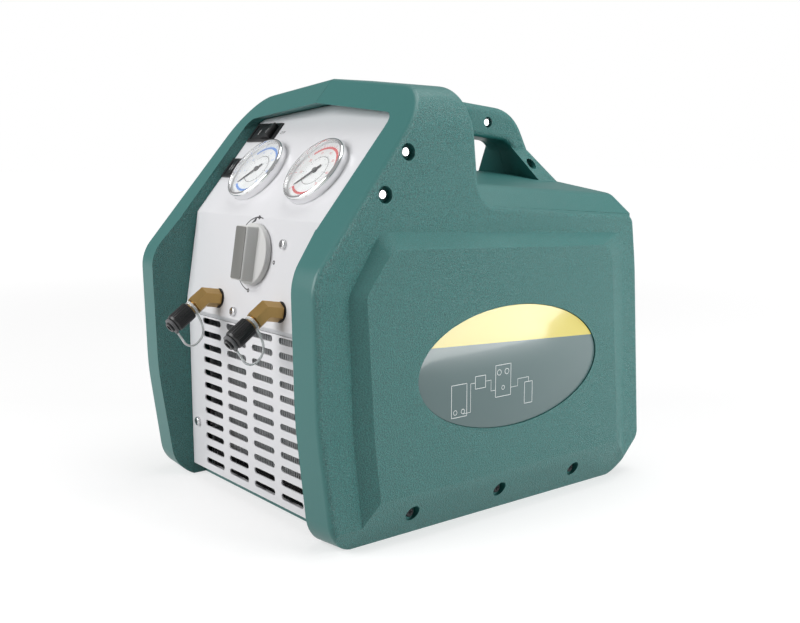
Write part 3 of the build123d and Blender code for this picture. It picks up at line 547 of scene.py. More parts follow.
def brass():
    colour = (0.42, 0.27, 0.1)
    return brushed(tinted(bare("Brass", colour, 0.34, Metallic=1.0), colour, 0.12, 60.0), 500.0, 0.34, 0.1)


def chrome():
    return bare("Chrome", (0.78, 0.78, 0.79), 0.09, Metallic=1.0)


def steel():
    colour = (0.62, 0.62, 0.63)
    return brushed(tinted(bare("Zinc Steel", colour, 0.25, Metallic=1.0), colour, 0.08, 80.0), 700.0, 0.25, 0.1)


def black_zinc():
    colour = (0.02, 0.021, 0.023)
    return brushed(tinted(bare("Black Zinc", colour, 0.45, Metallic=0.6), colour, 0.1, 80.0), 700.0, 0.45, 0.1)


def aluminium():
    colour = (0.55, 0.56, 0.57)
    return brushed(tinted(bare("Aluminium", colour, 0.35, Metallic=1.0), colour, 0.1, 50.0), 600.0, 0.38, 0.15)


def copper():
    colour = (0.72, 0.36, 0.22)
    return brushed(tinted(bare("Copper", colour, 0.3, Metallic=1.0), colour, 0.15, 50.0), 500.0, 0.28, 0.1)


def cast_grey():
    colour = (0.1, 0.105, 0.11)
    return grained(tinted(bare("Cast Grey", colour, 0.6, Metallic=0.4), colour, 0.2, 30.0), 600.0, 0.4, 0.2 * MM)


def can_grey():
    colour = (0.4, 0.41, 0.42)
    return grained(tinted(bare("Can Grey", colour, 0.4), colour), 1500.0, 0.05, 0.05 * MM)


def dial_enamel():
    colour = (0.82, 0.82, 0.82)
    return tinted(bare("Dial Enamel", colour, 0.35), colour, 0.01, 40.0)


def gauge_glass():
    return bare("Gauge Glass", (0.97, 0.98, 0.98), 0.03, IOR=1.45, Transmission_Weight=1.0)


def strap_plastic():
    colour = (0.86, 0.88, 0.88)
    return bare("Strap Plastic", colour, 0.25, IOR=1.45, Transmission_Weight=0.45)


def knob_plastic(name, colour):
    return grained(tinted(bare(name, colour, 0.42), colour, 0.03), 1800.0, 0.12, 0.06 * MM)


def label_film(settings, place):
    """Glossy label, a pale band over a grey ground, parted by a slanting line."""
    material = bare("Label Film", tuple(settings.ground), 0.22, Coat_Weight=0.4, Coat_Roughness=0.06)
    tree = material.node_tree
    shader = tree.nodes["Principled BSDF"]
    coordinates = tree.nodes.new("ShaderNodeTexCoord")
    split = tree.nodes.new("ShaderNodeSeparateXYZ")
    tree.links.new(coordinates.outputs["Object"], split.inputs["Vector"])
    fall = (settings.divider_front - settings.divider_back) / (settings.divider_run)
    start = place.translation.z + settings.divider_front + fall * (place.translation.y - settings.divider_run / 2)
    line = math_node(tree, "MULTIPLY_ADD", split.outputs["Y"], -fall, start)
    above = math_node(tree, "GREATER_THAN", math_node(tree, "SUBTRACT", split.outputs["Z"], line), 0.0)
    mix = tree.nodes.new("ShaderNodeMix")
    mix.data_type = "RGBA"
    mix.inputs[6].default_value = (*settings.ground, 1)
    mix.inputs[7].default_value = (*settings.band, 1)
    tree.links.new(above, mix.inputs[0])
    tree.links.new(mix.outputs[2], shader.inputs["Base Color"])
    return material


def floor_paper(settings):
    """White paper that reads as plain white to the eye, to metal and through glass, and keeps its shadow."""
    material = bpy.data.materials.new("Floor Paper")
    material.use_nodes = True
    tree = material.node_tree
    shader = tree.nodes["Principled BSDF"]
    shader.inputs["Base Color"].default_value = (0.45, 0.45, 0.45, 1)
    shader.inputs["Roughness"].default_value = 0.9
    shader.inputs["Specular IOR Level"].default_value = 0.0
    path = tree.nodes.new("ShaderNodeLightPath")
    seen = math_node(tree, "ADD", path.outputs["Is Camera Ray"], path.outputs["Is Glossy Ray"])
    seen = math_node(tree, "ADD", seen, path.outputs["Is Transmission Ray"])
    seen = math_node(tree, "MINIMUM", seen, 1.0)
    coordinates = tree.nodes.new("ShaderNodeTexCoord")
    away = tree.nodes.new("ShaderNodeVectorMath")
    away.operation = "LENGTH"
    tree.links.new(coordinates.outputs["Object"], away.inputs[0])
    rise = tree.nodes.new("ShaderNodeMapRange")
    rise.interpolation_type = "SMOOTHSTEP"
    for label, value in (("From Min", 0.4), ("From Max", 2.5), ("To Min", settings.near_glow),
                         ("To Max", settings.far_glow)):
        rise.inputs[label].default_value = value
    tree.links.new(away.outputs["Value"], rise.inputs["Value"])
    glow = math_node(tree, "MULTIPLY", seen, rise.outputs["Result"])
    shader.inputs["Emission Color"].default_value = (1, 1, 1, 1)
    tree.links.new(glow, shader.inputs["Emission Strength"])
    return material


def studio_world(settings):
    """Soft grey room that shows as white behind the object."""
    world = bpy.data.worlds.new("Studio")
    bpy.context.scene.world = world
    world.use_nodes = True
    tree = world.node_tree
    background = tree.nodes["Background"]
    background.inputs["Color"].default_value = (1, 1, 1, 1)
    path = tree.nodes.new("ShaderNodeLightPath")
    seen = math_node(tree, "MAXIMUM", path.outputs["Is Camera Ray"], path.outputs["Is Transmission Ray"])
    glossy = math_node(tree, "MULTIPLY", path.outputs["Is Glossy Ray"], settings.glossy_room)
    shown = math_node(tree, "MAXIMUM", seen, glossy)
    strength = math_node(tree, "MAXIMUM", shown, settings.room_light)
    tree.links.new(strength, background.inputs["Strength"])


# Settings

class StationStage(bpy.types.PropertyGroup):
    """Floor, lamps, room and camera"""
    floor_size: FloatProperty(name="Floor Size", description="Side of the square floor",
                              default=30.0, unit="LENGTH")
    near_glow: FloatProperty(name="Near Glow", description="What the floor adds to its shade by the object",
                             default=0.58, min=0.0)
    far_glow: FloatProperty(name="Far Glow", description="What the floor adds to its shade far off",
                            default=0.95, min=0.0)
    room_light: FloatProperty(name="Room Light", description="Strength of the even light from all round",
                              default=0.13, min=0.0)
    glossy_room: FloatProperty(name="Glossy Room", description="Strength of the room in reflections",
                               default=0.4, min=0.0)
    key_power: FloatProperty(name="Key Power", description="Power of the lamp on the right, towards the rear",
                             default=32.0, unit="POWER")
    front_power: FloatProperty(name="Front Power", description="Power of the high lamp ahead of the panel",
                               default=21.0, unit="POWER")
    top_power: FloatProperty(name="Top Power", description="Power of the lamp above the roof",
                             default=13.5, unit="POWER")
    camera_place: FloatVectorProperty(name="Camera Place", description="Where the camera stands",
                                      default=(0.7313, -0.5648, 0.2959), subtype="TRANSLATION", unit="LENGTH")
    camera_turn: FloatProperty(name="Camera Turn", description="Turn of the view from straight ahead",
                               default=math.radians(51.6), subtype="ANGLE", unit="ROTATION")
    camera_drop: FloatProperty(name="Camera Drop", description="Downward tilt of the view",
                               default=math.radians(8.88), subtype="ANGLE", unit="ROTATION")
    lens: FloatProperty(name="Lens", description="Focal length of the camera in millimetres", default=45.8)


class StationShell(bpy.types.PropertyGroup):
    """Moulded housing"""
    green: FloatVectorProperty(name="Green", description="Colour of the moulded halves", subtype="COLOR",
                               size=3, min=0.0, max=1.0, default=(0.022, 0.143, 0.133))
    roughness: FloatProperty(name="Roughness", description="Sheen of the plastic", default=0.42, min=0, max=1)
    grains: FloatProperty(name="Grains", description="Grains of the texture in a metre", default=900.0)
    grain_depth: FloatProperty(name="Grain Depth", description="Depth of the texture", default=0.0011,
                               unit="LENGTH", precision=5)
    side_grain: FloatProperty(name="Side Grain", description="Strength of the grain on the sides",
                              default=0.9, subtype="FACTOR")
    # Strength of the grain's tone in the colour, which also paints in the glints of the gloss on the grain.
    mottle_and_glints: FloatProperty(name="Mottle and Glints", description="How much the grain lightens and darkens the colour",
                          default=2.4, min=0.0)
    band_grain: FloatProperty(name="Band Grain", description="Strength of the grain on the front band",
                              default=0.06, subtype="FACTOR")


class StationPanel(bpy.types.PropertyGroup):
    """Folded front panel and its printing"""
    paint: FloatVectorProperty(name="Paint", description="Colour of the sheet metal", subtype="COLOR",
                               size=3, min=0.0, max=1.0, default=(0.72, 0.72, 0.74))
    ink: FloatVectorProperty(name="Ink", description="Colour of the printed marks", subtype="COLOR",
                             size=3, min=0.0, max=1.0, default=(0.05, 0.05, 0.055))
    ring_radius: FloatProperty(name="Ring Radius", description="Radius of the printed ring round the knob",
                               default=0.0306, unit="LENGTH", precision=4)
    ring_width: FloatProperty(name="Ring Width", description="Width of the printed ring",
                              default=0.0009, unit="LENGTH", precision=5)
    print_lift: FloatProperty(name="Print Lift", description="Height of the ink over the paint",
                              default=0.00006, unit="LENGTH", precision=6)


class StationGauge(bpy.types.PropertyGroup):
    """Pair of pressure gauges"""
    low_ink: FloatVectorProperty(name="Low Ink", description="Scale colour of the left gauge",
                                 subtype="COLOR", size=3, min=0.0, max=1.0, default=(0.08, 0.26, 0.72))
    high_ink: FloatVectorProperty(name="High Ink", description="Scale colour of the right gauge",
                                  subtype="COLOR", size=3, min=0.0, max=1.0, default=(0.66, 0.06, 0.06))
    divisions: IntProperty(name="Divisions", description="Numbered steps of a scale", default=7, min=2)
    ticks: IntProperty(name="Ticks", description="Small ticks in a numbered step", default=5, min=1)
    dome: FloatProperty(name="Dome", description="Rise of the glass at its middle", default=0.0016,
                        unit="LENGTH", precision=5)


class StationKnob(bpy.types.PropertyGroup):
    """Selector knob"""
    body: FloatVectorProperty(name="Body", description="Colour of the skirt and grip", subtype="COLOR",
                              size=3, min=0.0, max=1.0, default=(0.60, 0.60, 0.59))
    cover: FloatVectorProperty(name="Cover", description="Colour of the grip's front", subtype="COLOR",
                               size=3, min=0.0, max=1.0, default=(0.165, 0.165, 0.155))
    radius: FloatProperty(name="Radius", description="Radius of the skirt", default=0.0255,
                          unit="LENGTH", precision=4)
    grip_length: FloatProperty(name="Grip Length", description="Length of the bar grip", default=0.046,
                               unit="LENGTH", precision=4)
    grip_width: FloatProperty(name="Grip Width", description="Width of the bar grip at its foot",
                              default=0.022, unit="LENGTH", precision=4)
    height: FloatProperty(name="Height", description="Height of the grip", default=0.015,
                          unit="LENGTH", precision=4)


class StationCap(bpy.types.PropertyGroup):
    """Screw caps of the two flare ports"""
    ribs: IntProperty(name="Ribs", description="Grip ribs round a cap", default=24, min=6)
    rib_depth: FloatProperty(name="Rib Depth", description="Depth of the grooves between the ribs",
                             default=0.0005, unit="LENGTH", precision=5)
    strap: FloatProperty(name="Strap", description="Thickness of the clear strap", default=0.0019,
                         unit="LENGTH", precision=5)


class StationLabel(bpy.types.PropertyGroup):
    """Oval label on the right side"""
    band: FloatVectorProperty(name="Band", description="Colour of the upper band", subtype="COLOR",
                              size=3, min=0.0, max=1.0, default=(0.60, 0.51, 0.11))
    ground: FloatVectorProperty(name="Ground", description="Colour of the lower ground", subtype="COLOR",
                                size=3, min=0.0, max=1.0, default=(0.085, 0.14, 0.142))
    divider_front: FloatProperty(name="Divider Front", description="Divider over the middle at the front end",
                                 default=0.0245, unit="LENGTH", precision=4)
    divider_back: FloatProperty(name="Divider Back", description="Divider over the middle at the back end",
                                default=0.0152, unit="LENGTH", precision=4)
    divider_run: FloatProperty(name="Divider Run", description="Length between the divider's ends",
                               default=0.19, unit="LENGTH", precision=4)
    diagram: BoolProperty(name="Diagram", description="Print the plain hose diagram", default=True)


# Operators

class STATION_OT_stage(bpy.types.Operator):
    """Lays the white floor, hangs the lamps and sets the camera"""
    bl_idname = "station.stage"
    bl_label = "Stage"

    def execute(self, context):
        settings = context.scene.station_stage
        studio_world(settings)
        floor = started("floor", bpy.ops.mesh.primitive_plane_add, size=settings.floor_size)
        floor.data.materials.append(floor_paper(settings))
        target = Vector((0, 0, 0.17))
        lamps = [
            ("Key Lamp", (1.4, 0.9, 0.45), settings.key_power, 1.2),
            ("Front Lamp", (-0.3, -1.4, 0.85), settings.front_power, 1.1),
            ("Top Lamp", (0.1, 0.35, 1.6), settings.top_power, 1.1),
        ]
        lights = [self.lamp(*lamp, target) for lamp in lamps]
        self.camera(context, settings)
        context.scene.view_settings.view_transform = "Standard"
        return {"FINISHED"}

    def lamp(self, name, place, power, size, target):
        """Square soft box that looks at the object."""
        clear()
        bpy.ops.object.light_add(type="AREA", location=place)
        light = bpy.context.object
        light.name = name
        light.data.energy = power
        light.data.size = size
        light.rotation_euler = (target - Vector(place)).to_track_quat("-Z", "Y").to_euler()
        return light

    def camera(self, context, settings):
        clear()
        bpy.ops.object.camera_add(location=settings.camera_place)
        camera = bpy.context.object
        camera.name = "Photo Camera"
        flat_run = math.cos(settings.camera_drop)
        look = Vector((-math.sin(settings.camera_turn) * flat_run,
                       math.cos(settings.camera_turn) * flat_run, -math.sin(settings.camera_drop)))
        camera.rotation_euler = look.to_track_quat("-Z", "Y").to_euler()
        camera.data.lens = settings.lens
        camera.data.sensor_width = 36.0
        camera.data.clip_start = 0.01
        context.scene.camera = camera
        return camera


class STATION_OT_shell(bpy.types.Operator):
    """Dresses the two moulded halves in grained green plastic"""
    bl_idname = "station.shell"
    bl_label = "Shell"

    def execute(self, context):
        green = shell_green(context.scene.station_shell)
        for node in ("shell_right", "shell_left"):
            skin(node, "green_plastic", green, 28.0)
        return {"FINISHED"}


class STATION_OT_panel(bpy.types.Operator):
    """Paints the folded panel and the slotted grille and prints the marks round the knob"""
    bl_idname = "station.panel"
    bl_label = "Panel"

    def execute(self, context):
        settings = context.scene.station_panel
        paint = panel_paint(tuple(settings.paint))
        for node in ("control_panel", "front_grille"):
            skin(node, "panel_white", paint, 20.0)
        ink = print_ink("Panel Ink", tuple(settings.ink))
        marks = self.knob_marks(settings)
        marks.append(self.off_mark(settings))
        put(joined(marks, "panel_print"), "housing", "needle_black", ink)
        return {"FINISHED"}

    def knob_marks(self, settings):
        """Ring from the top round the right to past the bottom, its stops and its arrow."""
        radius, half = settings.ring_radius / MM, settings.ring_width / MM / 2
        place = knob_place(lift=settings.print_lift)
        marks = [band("ring", radius - half, radius + half, 78, -182, 60)]
        for angle in (90, -8, -98):
            stop = band("stop", 0.7, 1.7, 0, 360, 20)
            away = Vector((math.cos(math.radians(angle)), math.sin(math.radians(angle)), 0))
            marks.append(settle(stop, Matrix.Translation(away * radius * MM)))
        oval = flat("slow_mark", [(1.5 * math.cos(math.tau * i / 20), 2.6 * math.sin(math.tau * i / 20))
                                  for i in range(20)])
        marks.append(settle(oval, Matrix.Translation((-radius * MM, 0, 0))))
        arrow = flat("arrow", [(-3.4, 31.6), (-12.5, 24.6), (-5.0, 27.2)])
        marks.append(arrow)
        return [settle(mark, place) for mark in marks]

    def off_mark(self, settings):
        place = rocker_place("power") @ Matrix.Translation((29 * MM, 0, settings.print_lift))
        return settle(lettering("off_mark", "OFF", 4.4 * MM), place)


class STATION_OT_label(bpy.types.Operator):
    """Lays the two-colour oval label in its recess and prints a plain hose diagram on it"""
    bl_idname = "station.label"
    bl_label = "Label"

    def execute(self, context):
        settings = context.scene.station_label
        low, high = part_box("label_plate")
        centre = (low + high) / 2
        place = facing(Vector((low.x, centre.y, centre.z)), (1, 0, 0), (0, 1, 0))
        plate = started("label", bpy.ops.mesh.primitive_circle_add, vertices=128, radius=1.0, fill_type="NGON")
        size = (high - low) / 2
        edit(plate)
        bpy.ops.mesh.select_all(action="SELECT")
        bpy.ops.transform.resize(value=(size.y, size.z, 1))
        bpy.ops.mesh.extrude_region_move(TRANSFORM_OT_translate={"value": (0, 0, high.x - low.x)})
        close_seams()
        leave()
        bevelled(plate, 0.3 * MM, 2)
        settle(plate, place)
        put(plate, "housing", "label_print", label_film(settings, place), "label_plate")
        if settings.diagram:
            lift = Matrix.Translation((0, 0, high.x - low.x + 0.06 * MM))
            lines = settle(self.hose_diagram(), place @ lift)
            put(lines, "housing", "label_print", print_ink("Label Ink", (0.72, 0.76, 0.76)))
        return {"FINISHED"}

    def hose_diagram(self):
        """Tank, filter, machine and cylinder joined by hoses, in thin lines."""
        boxes = [(-66, -50, -34, -8), (-41, -30, -14, -4), (-19, -2, -24, 2), (14, 23, -34, -16)]
        strokes = []
        for left, right, foot, head in boxes:
            corners = [(left, foot), (right, foot), (right, head), (left, head)]
            strokes += [stroke("line", a, b, 0.45) for a, b in zip(corners, corners[1:] + corners[:1])]
        hoses = [[(-54, -32), (-46, -32), (-46, -9), (-41, -9)], [(-30, -9), (-24, -9), (-24, -18), (-19, -18)],
                 [(-2, -18), (6, -18), (6, -12), (18.5, -12), (18.5, -16)]]
        for route in hoses:
            strokes += [stroke("hose", a, b, 0.35) for a, b in zip(route, route[1:])]
        for x, y, radius in ((-62, -30, 2.0), (-54, -30, 2.0), (-15, -4, 2.4), (-6.5, -4, 2.4), (-10.5, -17, 1.8)):
            ring = band("dial", radius - 0.4, radius, 0, 360, 24)
            strokes.append(settle(ring, Matrix.Translation((x * MM, y * MM, 0))))
        return joined(strokes, "label_diagram")


class STATION_OT_gauges(bpy.types.Operator):
    """Builds both gauges: bezel, printed dial, needle and domed glass"""
    bl_idname = "station.gauges"
    bl_label = "Gauges"

    def execute(self, context):
        settings = context.scene.station_gauge
        metal, enamel, glass = chrome(), dial_enamel(), gauge_glass()
        black = print_ink("Dial Black", (0.03, 0.03, 0.03))
        tints = {"low": tuple(settings.low_ink), "high": tuple(settings.high_ink)}
        tops = {"low": 3, "high": 10}
        for side in SIDES:
            place = gauge_place(side)
            put(settle(self.case(side), place), "housing", "chrome", metal, f"{side}_gauge_case")
            put(settle(self.dial(side), place), "housing", "dial_white", enamel, f"{side}_dial")
            tint = print_ink(f"{side.title()} Scale", tints[side])
            scale = settle(self.scale_print(settings, side, tops[side], 27.0, 24.2, 18.6, 3.4, 2.2), place)
            put(scale, "housing", "dial_white", tint)
            inner = settle(self.scale_print(settings, f"{side}_inner", 1, 15.8, 14.2, 11.6, 2.0), place)
            put(inner, "housing", "dial_white", black)
            put(settle(self.needle(side), place), f"{side}_needle", "needle_black", black, f"{side}_needle")
            put(settle(self.lens(settings, side), place), "housing", "lens", glass, f"{side}_lens")
        return {"FINISHED"}

    def case(self, side):
        """Can behind the panel and rolled bezel in front of it."""
        profile = [(0, -40), (5, -40), (5, -26), (25.5, -26), (27, -24.5), (27, 0), (31.1, 0), (31.5, 0.6)]
        profile += arc((29.0, 5.9), 2.5, 0, 80, 8)
        profile += [(28.95, 8.2), (28.9, 7.6), (28.9, 3.0), (0, 3.0)]
        return turned(f"{side}_case", profile, 96)

    def dial(self, side):
        return turned(f"{side}_dial_plate", [(0, 3.05), (28.7, 3.05), (28.7, 3.5), (28.5, 3.6), (0, 3.6)], 72)

    def scale_print(self, settings, name, top, outer, inner, figures, size, line=0.5):
        """Arc, ticks and figures of one scale."""
        lift = Matrix.Translation((0, 0, 3.66 * MM))
        marks = [band("arc", inner - line, inner, SCALE_START, -SCALE_SWEEP, 90)]
        count = settings.divisions * settings.ticks
        step = SCALE_SWEEP / count
        long_tick = stroke("tick", (inner, 0), (outer, 0), 0.42)
        short_tick = stroke("tick", (inner, 0), ((inner + outer) / 2, 0), 0.24)
        longs = [turn(SCALE_START - step * i) for i in range(0, count + 1, settings.ticks)]
        shorts = [turn(SCALE_START - step * i) for i in range(count + 1) if i % settings.ticks]
        marks += [repeated(long_tick, longs, "long_ticks"), repeated(short_tick, shorts, "short_ticks")]
        for i in range(settings.divisions + 1):
            angle = math.radians(SCALE_START - SCALE_SWEEP * i / settings.divisions)
            figure = lettering("figure", str(i * top), size * MM)
            spot = Vector((math.cos(angle), math.sin(angle), 0)) * figures * MM
            marks.append(settle(figure, Matrix.Translation(spot)))
        return settle(joined(marks, f"{name}_scale"), lift)

    def needle(self, side):
        """Tapered pointer with a tail and a round hub."""
        outline = [(-7, -1.1), (0, -1.3), (20.5, -0.35), (22, 0), (20.5, 0.35), (0, 1.3), (-7, 1.1)]
        blade = flat("blade", outline, 0.4)
        settle(blade, Matrix.Translation((0, 0, 4.2 * MM)) @ turn(SCALE_START))
        hub = turned("hub", [(0, 3.7), (2.6, 3.7), (2.6, 4.8), (2.1, 5.3), (0, 5.4)], 32)
        return joined([hub, blade], f"{side}_pointer")

    def lens(self, settings, side):
        """Domed glass held by the bezel."""
        rim, edge, thick = 28.8, 6.3, 1.1
        rise = settings.dome / MM
        upper = [(rim * i / 8, edge + thick + rise * (1 - (i / 8) ** 2)) for i in range(9)]
        lower = [(rim * i / 8, edge + rise * (1 - (i / 8) ** 2)) for i in range(8, -1, -1)]
        return turned(f"{side}_glass", upper + lower, 72)


class STATION_OT_switches(bpy.types.Operator):
    """Dresses the two rocker switches and prints their marks"""
    bl_idname = "station.switches"
    bl_label = "Switches"

    def execute(self, context):
        plastic = black_plastic()
        ink = print_ink("Switch Ink", (0.6, 0.6, 0.6))
        for name in ("power", "start"):
            skin(f"{name}_switch_body", "black_plastic", plastic)
            rocker = skin(f"{name}_rocker", "black_plastic", plastic)
            put(self.marks(name, rocker), f"{name}_rocker", "black_plastic", ink)
        return {"FINISHED"}

    def marks(self, name, rocker):
        """Line and ring on the two halves of a rocker that stands tipped to its off side."""
        tip = 8.0
        width = (rocker.dimensions.x - 1.5 * MM) / 2
        pivot = Matrix.Translation((0, 0, -3 * MM))
        tipped = rocker_place(name) @ pivot @ turn(-tip, "Y") @ pivot.inverted()
        marks = []
        for side in (-1, 1):
            rise = 1.66 * MM + width / 2 * math.tan(math.radians(tip))
            half = tipped @ Matrix.Translation((side * width / 2, 0, rise)) @ turn(-side * tip, "Y")
            if side < 0:
                mark = stroke("line_mark", (0, -2.6), (0, 2.6), 0.7)
            else:
                mark = band("ring_mark", 1.9, 2.6, 0, 360, 28)
            marks.append(settle(mark, half))
        return joined(marks, f"{name}_marks")


class STATION_OT_knob(bpy.types.Operator):
    """Builds the selector knob with its skirt, bar grip and darker cover"""
    bl_idname = "station.knob"
    bl_label = "Knob"

    def execute(self, context):
        settings = context.scene.station_knob
        body = joined([self.skirt(settings), self.grip(settings)], "knob_body")
        settle(body, knob_place())
        put(body, "knob", "knob_grey", knob_plastic("Knob Grey", tuple(settings.body)), "valve_knob")
        cover = settle(self.cover(settings), knob_place())
        put(cover, "knob", "knob_grey", knob_plastic("Knob Cover", tuple(settings.cover)))
        skin("valve_stem", "steel", steel())
        return {"FINISHED"}

    def skirt(self, settings):
        radius = settings.radius / MM
        profile = [(0, 0.8), (radius, 0.8)] + arc((radius - 1.2, 4.6), 1.2, 0, 90, 5) + [(0, 5.8)]
        return turned("skirt", profile, 96)

    def grip(self, settings):
        """Bar that narrows towards its front, its corners rounded."""
        grip = started("grip", bpy.ops.mesh.primitive_cube_add, size=1.0)
        height = settings.height - 1.2 * MM
        edit(grip)
        bpy.ops.mesh.select_all(action="SELECT")
        bpy.ops.transform.resize(value=(settings.grip_width, settings.grip_length, height))
        bpy.ops.transform.translate(value=(0, 0, height / 2 + 2 * MM))
        pick(grip, "FACE", lambda face: face.normal.z > 0.9)
        bpy.ops.transform.resize(value=(0.79, 0.97, 1))
        leave()
        return bevelled(grip, 1.6 * MM, 4)

    def cover(self, settings):
        """Thin plate let into the front of the grip."""
        cover = started("knob_cover", bpy.ops.mesh.primitive_cube_add, size=1.0)
        edit(cover)
        bpy.ops.mesh.select_all(action="SELECT")
        size = (settings.grip_width * 0.79 - 1.6 * MM, settings.grip_length * 0.97 - 1.8 * MM, 0.5 * MM)
        bpy.ops.transform.resize(value=size)
        bpy.ops.transform.translate(value=(0, 0, settings.height + 0.8 * MM + 0.05 * MM))
        pick(cover, "EDGE", lambda edge: abs((edge.verts[0].co - edge.verts[1].co).z) > 0.1 * MM)
        bpy.ops.mesh.bevel(offset=1.2 * MM, segments=5)
        leave()
        return bevelled(cover, 0.12 * MM, 2)


class STATION_OT_ports(bpy.types.Operator):
    """Builds the brass ports with their ribbed caps, swivel rings and clear straps"""
    bl_idname = "station.ports"
    bl_label = "Ports"

    def execute(self, context):
        settings = context.scene.station_cap
        metal, rubber, clear_strap = brass(), black_rubber(), strap_plastic()
        plastic = black_plastic()
        grey = knob_plastic("Ring Grey", (0.12, 0.12, 0.125))
        skin("port_grommets", "black_rubber", rubber)
        for port in PORTS:
            skin(f"{port}_port", "brass", metal, 25.0)
            place = cap_place(port)
            put(settle(self.cap(settings, port), place), f"{port}_cap", "black_plastic", plastic, f"{port}_cap")
            ring = settle(self.swivel(port), place)
            put(ring, f"{port}_ring", "black_rubber", grey, f"{port}_cap_ring")
            self.strap(settings, port, place, clear_strap)
        return {"FINISHED"}

    def cap(self, settings, port):
        """Cap with grooves between its grip ribs and a narrower hollow end."""
        profile = [(0, 14.5), (5.6, 14.5), (5.6, 0), (7.5, 0), (8, 0.6), (8, 16.4), (7.6, 17.6), (6.8, 18.4),
                   (4.6, 18.6), (4.6, 22.9), (4.2, 23.4), (2.9, 23.4), (2.7, 23.1), (2.7, 20.4), (0, 20.4)]
        steps = settings.ribs * 3
        cap = turned(f"{port}_cap_body", profile, steps)
        edit(cap)
        span = math.tau / steps

        def groove(face):
            middle_point = face.calc_center_median()
            if math.hypot(middle_point.x, middle_point.y) < 7.85 * MM or not 1 * MM < middle_point.z < 16 * MM:
                return False
            angle = math.atan2(middle_point.y, middle_point.x) % math.tau
            return int(angle / span) % 3 == 0
        pick(cap, "FACE", groove)
        bpy.ops.mesh.inset(thickness=0.12 * MM, depth=-settings.rib_depth, use_individual=True)
        leave()
        return smoothed(cap, 30.0)

    def swivel(self, port):
        """Grey ring on the cap's end, with the lug that reaches out to the strap."""
        profile = [(4.75, 19.0), (6.6, 19.0), (7.0, 19.4), (7.0, 21.0), (6.6, 21.4), (4.75, 21.4), (4.75, 19.0)]
        ring = turned(f"{port}_swivel", profile, 48)
        lug = started("lug", bpy.ops.mesh.primitive_cube_add, size=1.0)
        edit(lug)
        bpy.ops.mesh.select_all(action="SELECT")
        bpy.ops.transform.resize(value=(3 * MM, 2 * MM, 2.4 * MM))
        bpy.ops.transform.translate(value=(0, -7 * MM, 20.2 * MM))
        leave()
        return joined([ring, bevelled(lug, 0.4 * MM, 2)], f"{port}_swivel")

    def strap(self, settings, port, place, material):
        """Clear strap that hangs in a loop from the swivel ring to a collar on the elbow's neck."""
        shape = bpy.data.curves.new(f"{port}_strap_line", "CURVE")
        shape.dimensions = "3D"
        spline = shape.splines.new("NURBS")
        spline.points.add(len(STRAP_ROUTE) - 1)
        for point, (y, z) in zip(spline.points, STRAP_ROUTE):
            point.co = (place.translation.x, y, z, 1)
        spline.order_u = 3
        spline.use_endpoint_u = True
        spline.resolution_u = 12
        strap = bpy.data.objects.new(f"{port}_strap_loop", shape)
        bpy.context.collection.objects.link(strap)
        route = bpy.data.meshes.new_from_object(strap)
        bpy.data.meshes.remove(route)
        shape.bevel_depth = settings.strap / 2
        shape.bevel_resolution = 4
        shape.use_fill_caps = True
        hold(strap)
        bpy.ops.object.convert(target="MESH")
        strap = smoothed(bpy.context.object, 60.0)
        strap.data.materials.append(material)
        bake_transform(strap)
        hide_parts(f"{port}_strap")
        collar = turned(f"{port}_strap_collar", [(5.2, -4.2), (6.2, -4.2), (6.4, -4.0), (6.4, -2.0), (6.2, -1.8),
                                                 (5.2, -1.8), (5.2, -4.2)], 40)
        put(settle(collar, place), "housing", "strap_clear", material)


class STATION_OT_cooling(bpy.types.Operator):
    """Dresses the condenser behind the grille and the fan behind it"""
    bl_idname = "station.cooling"
    bl_label = "Cooling"

    def execute(self, context):
        fins, pipe, plastic = aluminium(), copper(), black_plastic()
        skin("condenser_core", "aluminium", fins)
        skin("condenser_plates", "steel", steel())
        skin("condenser_bends", "copper", pipe)
        skin("copper_lines", "copper", pipe)
        skin("fan_shroud", "black_plastic", plastic)
        skin("fan_rotor", "black_plastic", plastic)
        skin("fan_motor", "steel", steel())
        return {"FINISHED"}


class STATION_OT_drive(bpy.types.Operator):
    """Dresses the compressor, its mounts, the valve block, the pan and the capacitor"""
    bl_idname = "station.drive"
    bl_label = "Drive"

    def execute(self, context):
        skin("compressor", "cast_grey", cast_grey())
        skin("rubber_mounts", "black_rubber", black_rubber())
        skin("valve_block", "brass", brass())
        skin("base_pan", "steel", steel())
        skin("capacitor", "can_grey", can_grey())
        skin("capacitor_clip", "steel", steel())
        return {"FINISHED"}


class STATION_OT_rear(bpy.types.Operator):
    """Paints the rear sheet and dresses the mains inlet"""
    bl_idname = "station.rear"
    bl_label = "Rear"

    def execute(self, context):
        paint = panel_paint(tuple(context.scene.station_panel.paint))
        skin("rear_panel", "panel_white", paint, 20.0)
        skin("power_inlet", "black_plastic", black_plastic())
        return {"FINISHED"}


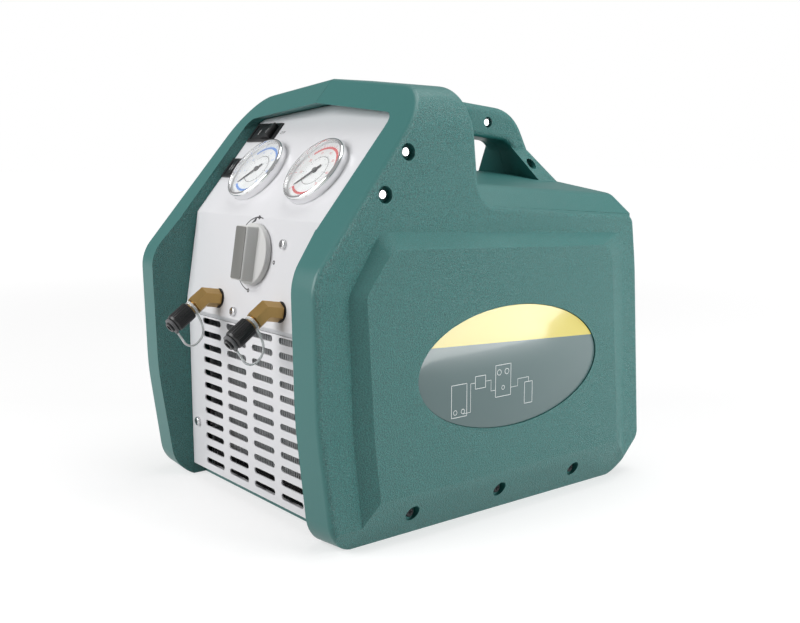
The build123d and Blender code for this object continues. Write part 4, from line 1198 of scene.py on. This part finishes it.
class STATION_OT_screws(bpy.types.Operator):
    """Gives the screws their bright zinc finish, and the low ones on the sides a black one"""
    bl_idname = "station.screws"
    bl_label = "Screws"

    def execute(self, context):
        zinc = steel()
        for node in ("tower_screws", "handle_screws", "panel_screws", "rear_screws"):
            skin(node, "steel", zinc)
        skin("foot_screws", "steel", black_zinc())
        return {"FINISHED"}


STEPS = (STATION_OT_stage, STATION_OT_shell, STATION_OT_panel, STATION_OT_label, STATION_OT_gauges,
         STATION_OT_switches, STATION_OT_knob, STATION_OT_ports, STATION_OT_cooling, STATION_OT_drive,
         STATION_OT_rear, STATION_OT_screws)
SETTINGS = {"station_stage": StationStage, "station_shell": StationShell, "station_panel": StationPanel,
            "station_gauge": StationGauge, "station_knob": StationKnob, "station_cap": StationCap,
            "station_label": StationLabel}


class STATION_PT_sidebar(bpy.types.Panel):
    """Lists the steps in order"""
    bl_idname = "STATION_PT_sidebar"
    bl_label = "Recovery Station"
    bl_space_type = "VIEW_3D"
    bl_region_type = "UI"
    bl_category = "Station"

    def draw(self, context):
        for step in STEPS:
            self.layout.operator(step.bl_idname)
        for name in SETTINGS:
            box = self.layout.box()
            group = getattr(context.scene, name)
            for key in group.bl_rna.properties.keys():
                if key not in ("rna_type", "name"):
                    box.prop(group, key)


def register():
    for group in SETTINGS.values():
        bpy.utils.register_class(group)
    for step in STEPS:
        bpy.utils.register_class(step)
    bpy.utils.register_class(STATION_PT_sidebar)
    for name, group in SETTINGS.items():
        setattr(bpy.types.Scene, name, PointerProperty(type=group))


def unregister():
    for name in SETTINGS:
        delattr(bpy.types.Scene, name)
    bpy.utils.unregister_class(STATION_PT_sidebar)
    for step in reversed(STEPS):
        bpy.utils.unregister_class(step)
    for group in reversed(SETTINGS.values()):
        bpy.utils.unregister_class(group)


def main():
    register()
    bpy.ops.station.stage()
    bpy.ops.station.shell()
    bpy.ops.station.panel()
    bpy.ops.station.label()
    bpy.ops.station.gauges()
    bpy.ops.station.switches()
    bpy.ops.station.knob()
    bpy.ops.station.ports()
    bpy.ops.station.cooling()
    bpy.ops.station.drive()
    bpy.ops.station.rear()
    bpy.ops.station.screws()


if __name__ == "__main__":
    main()
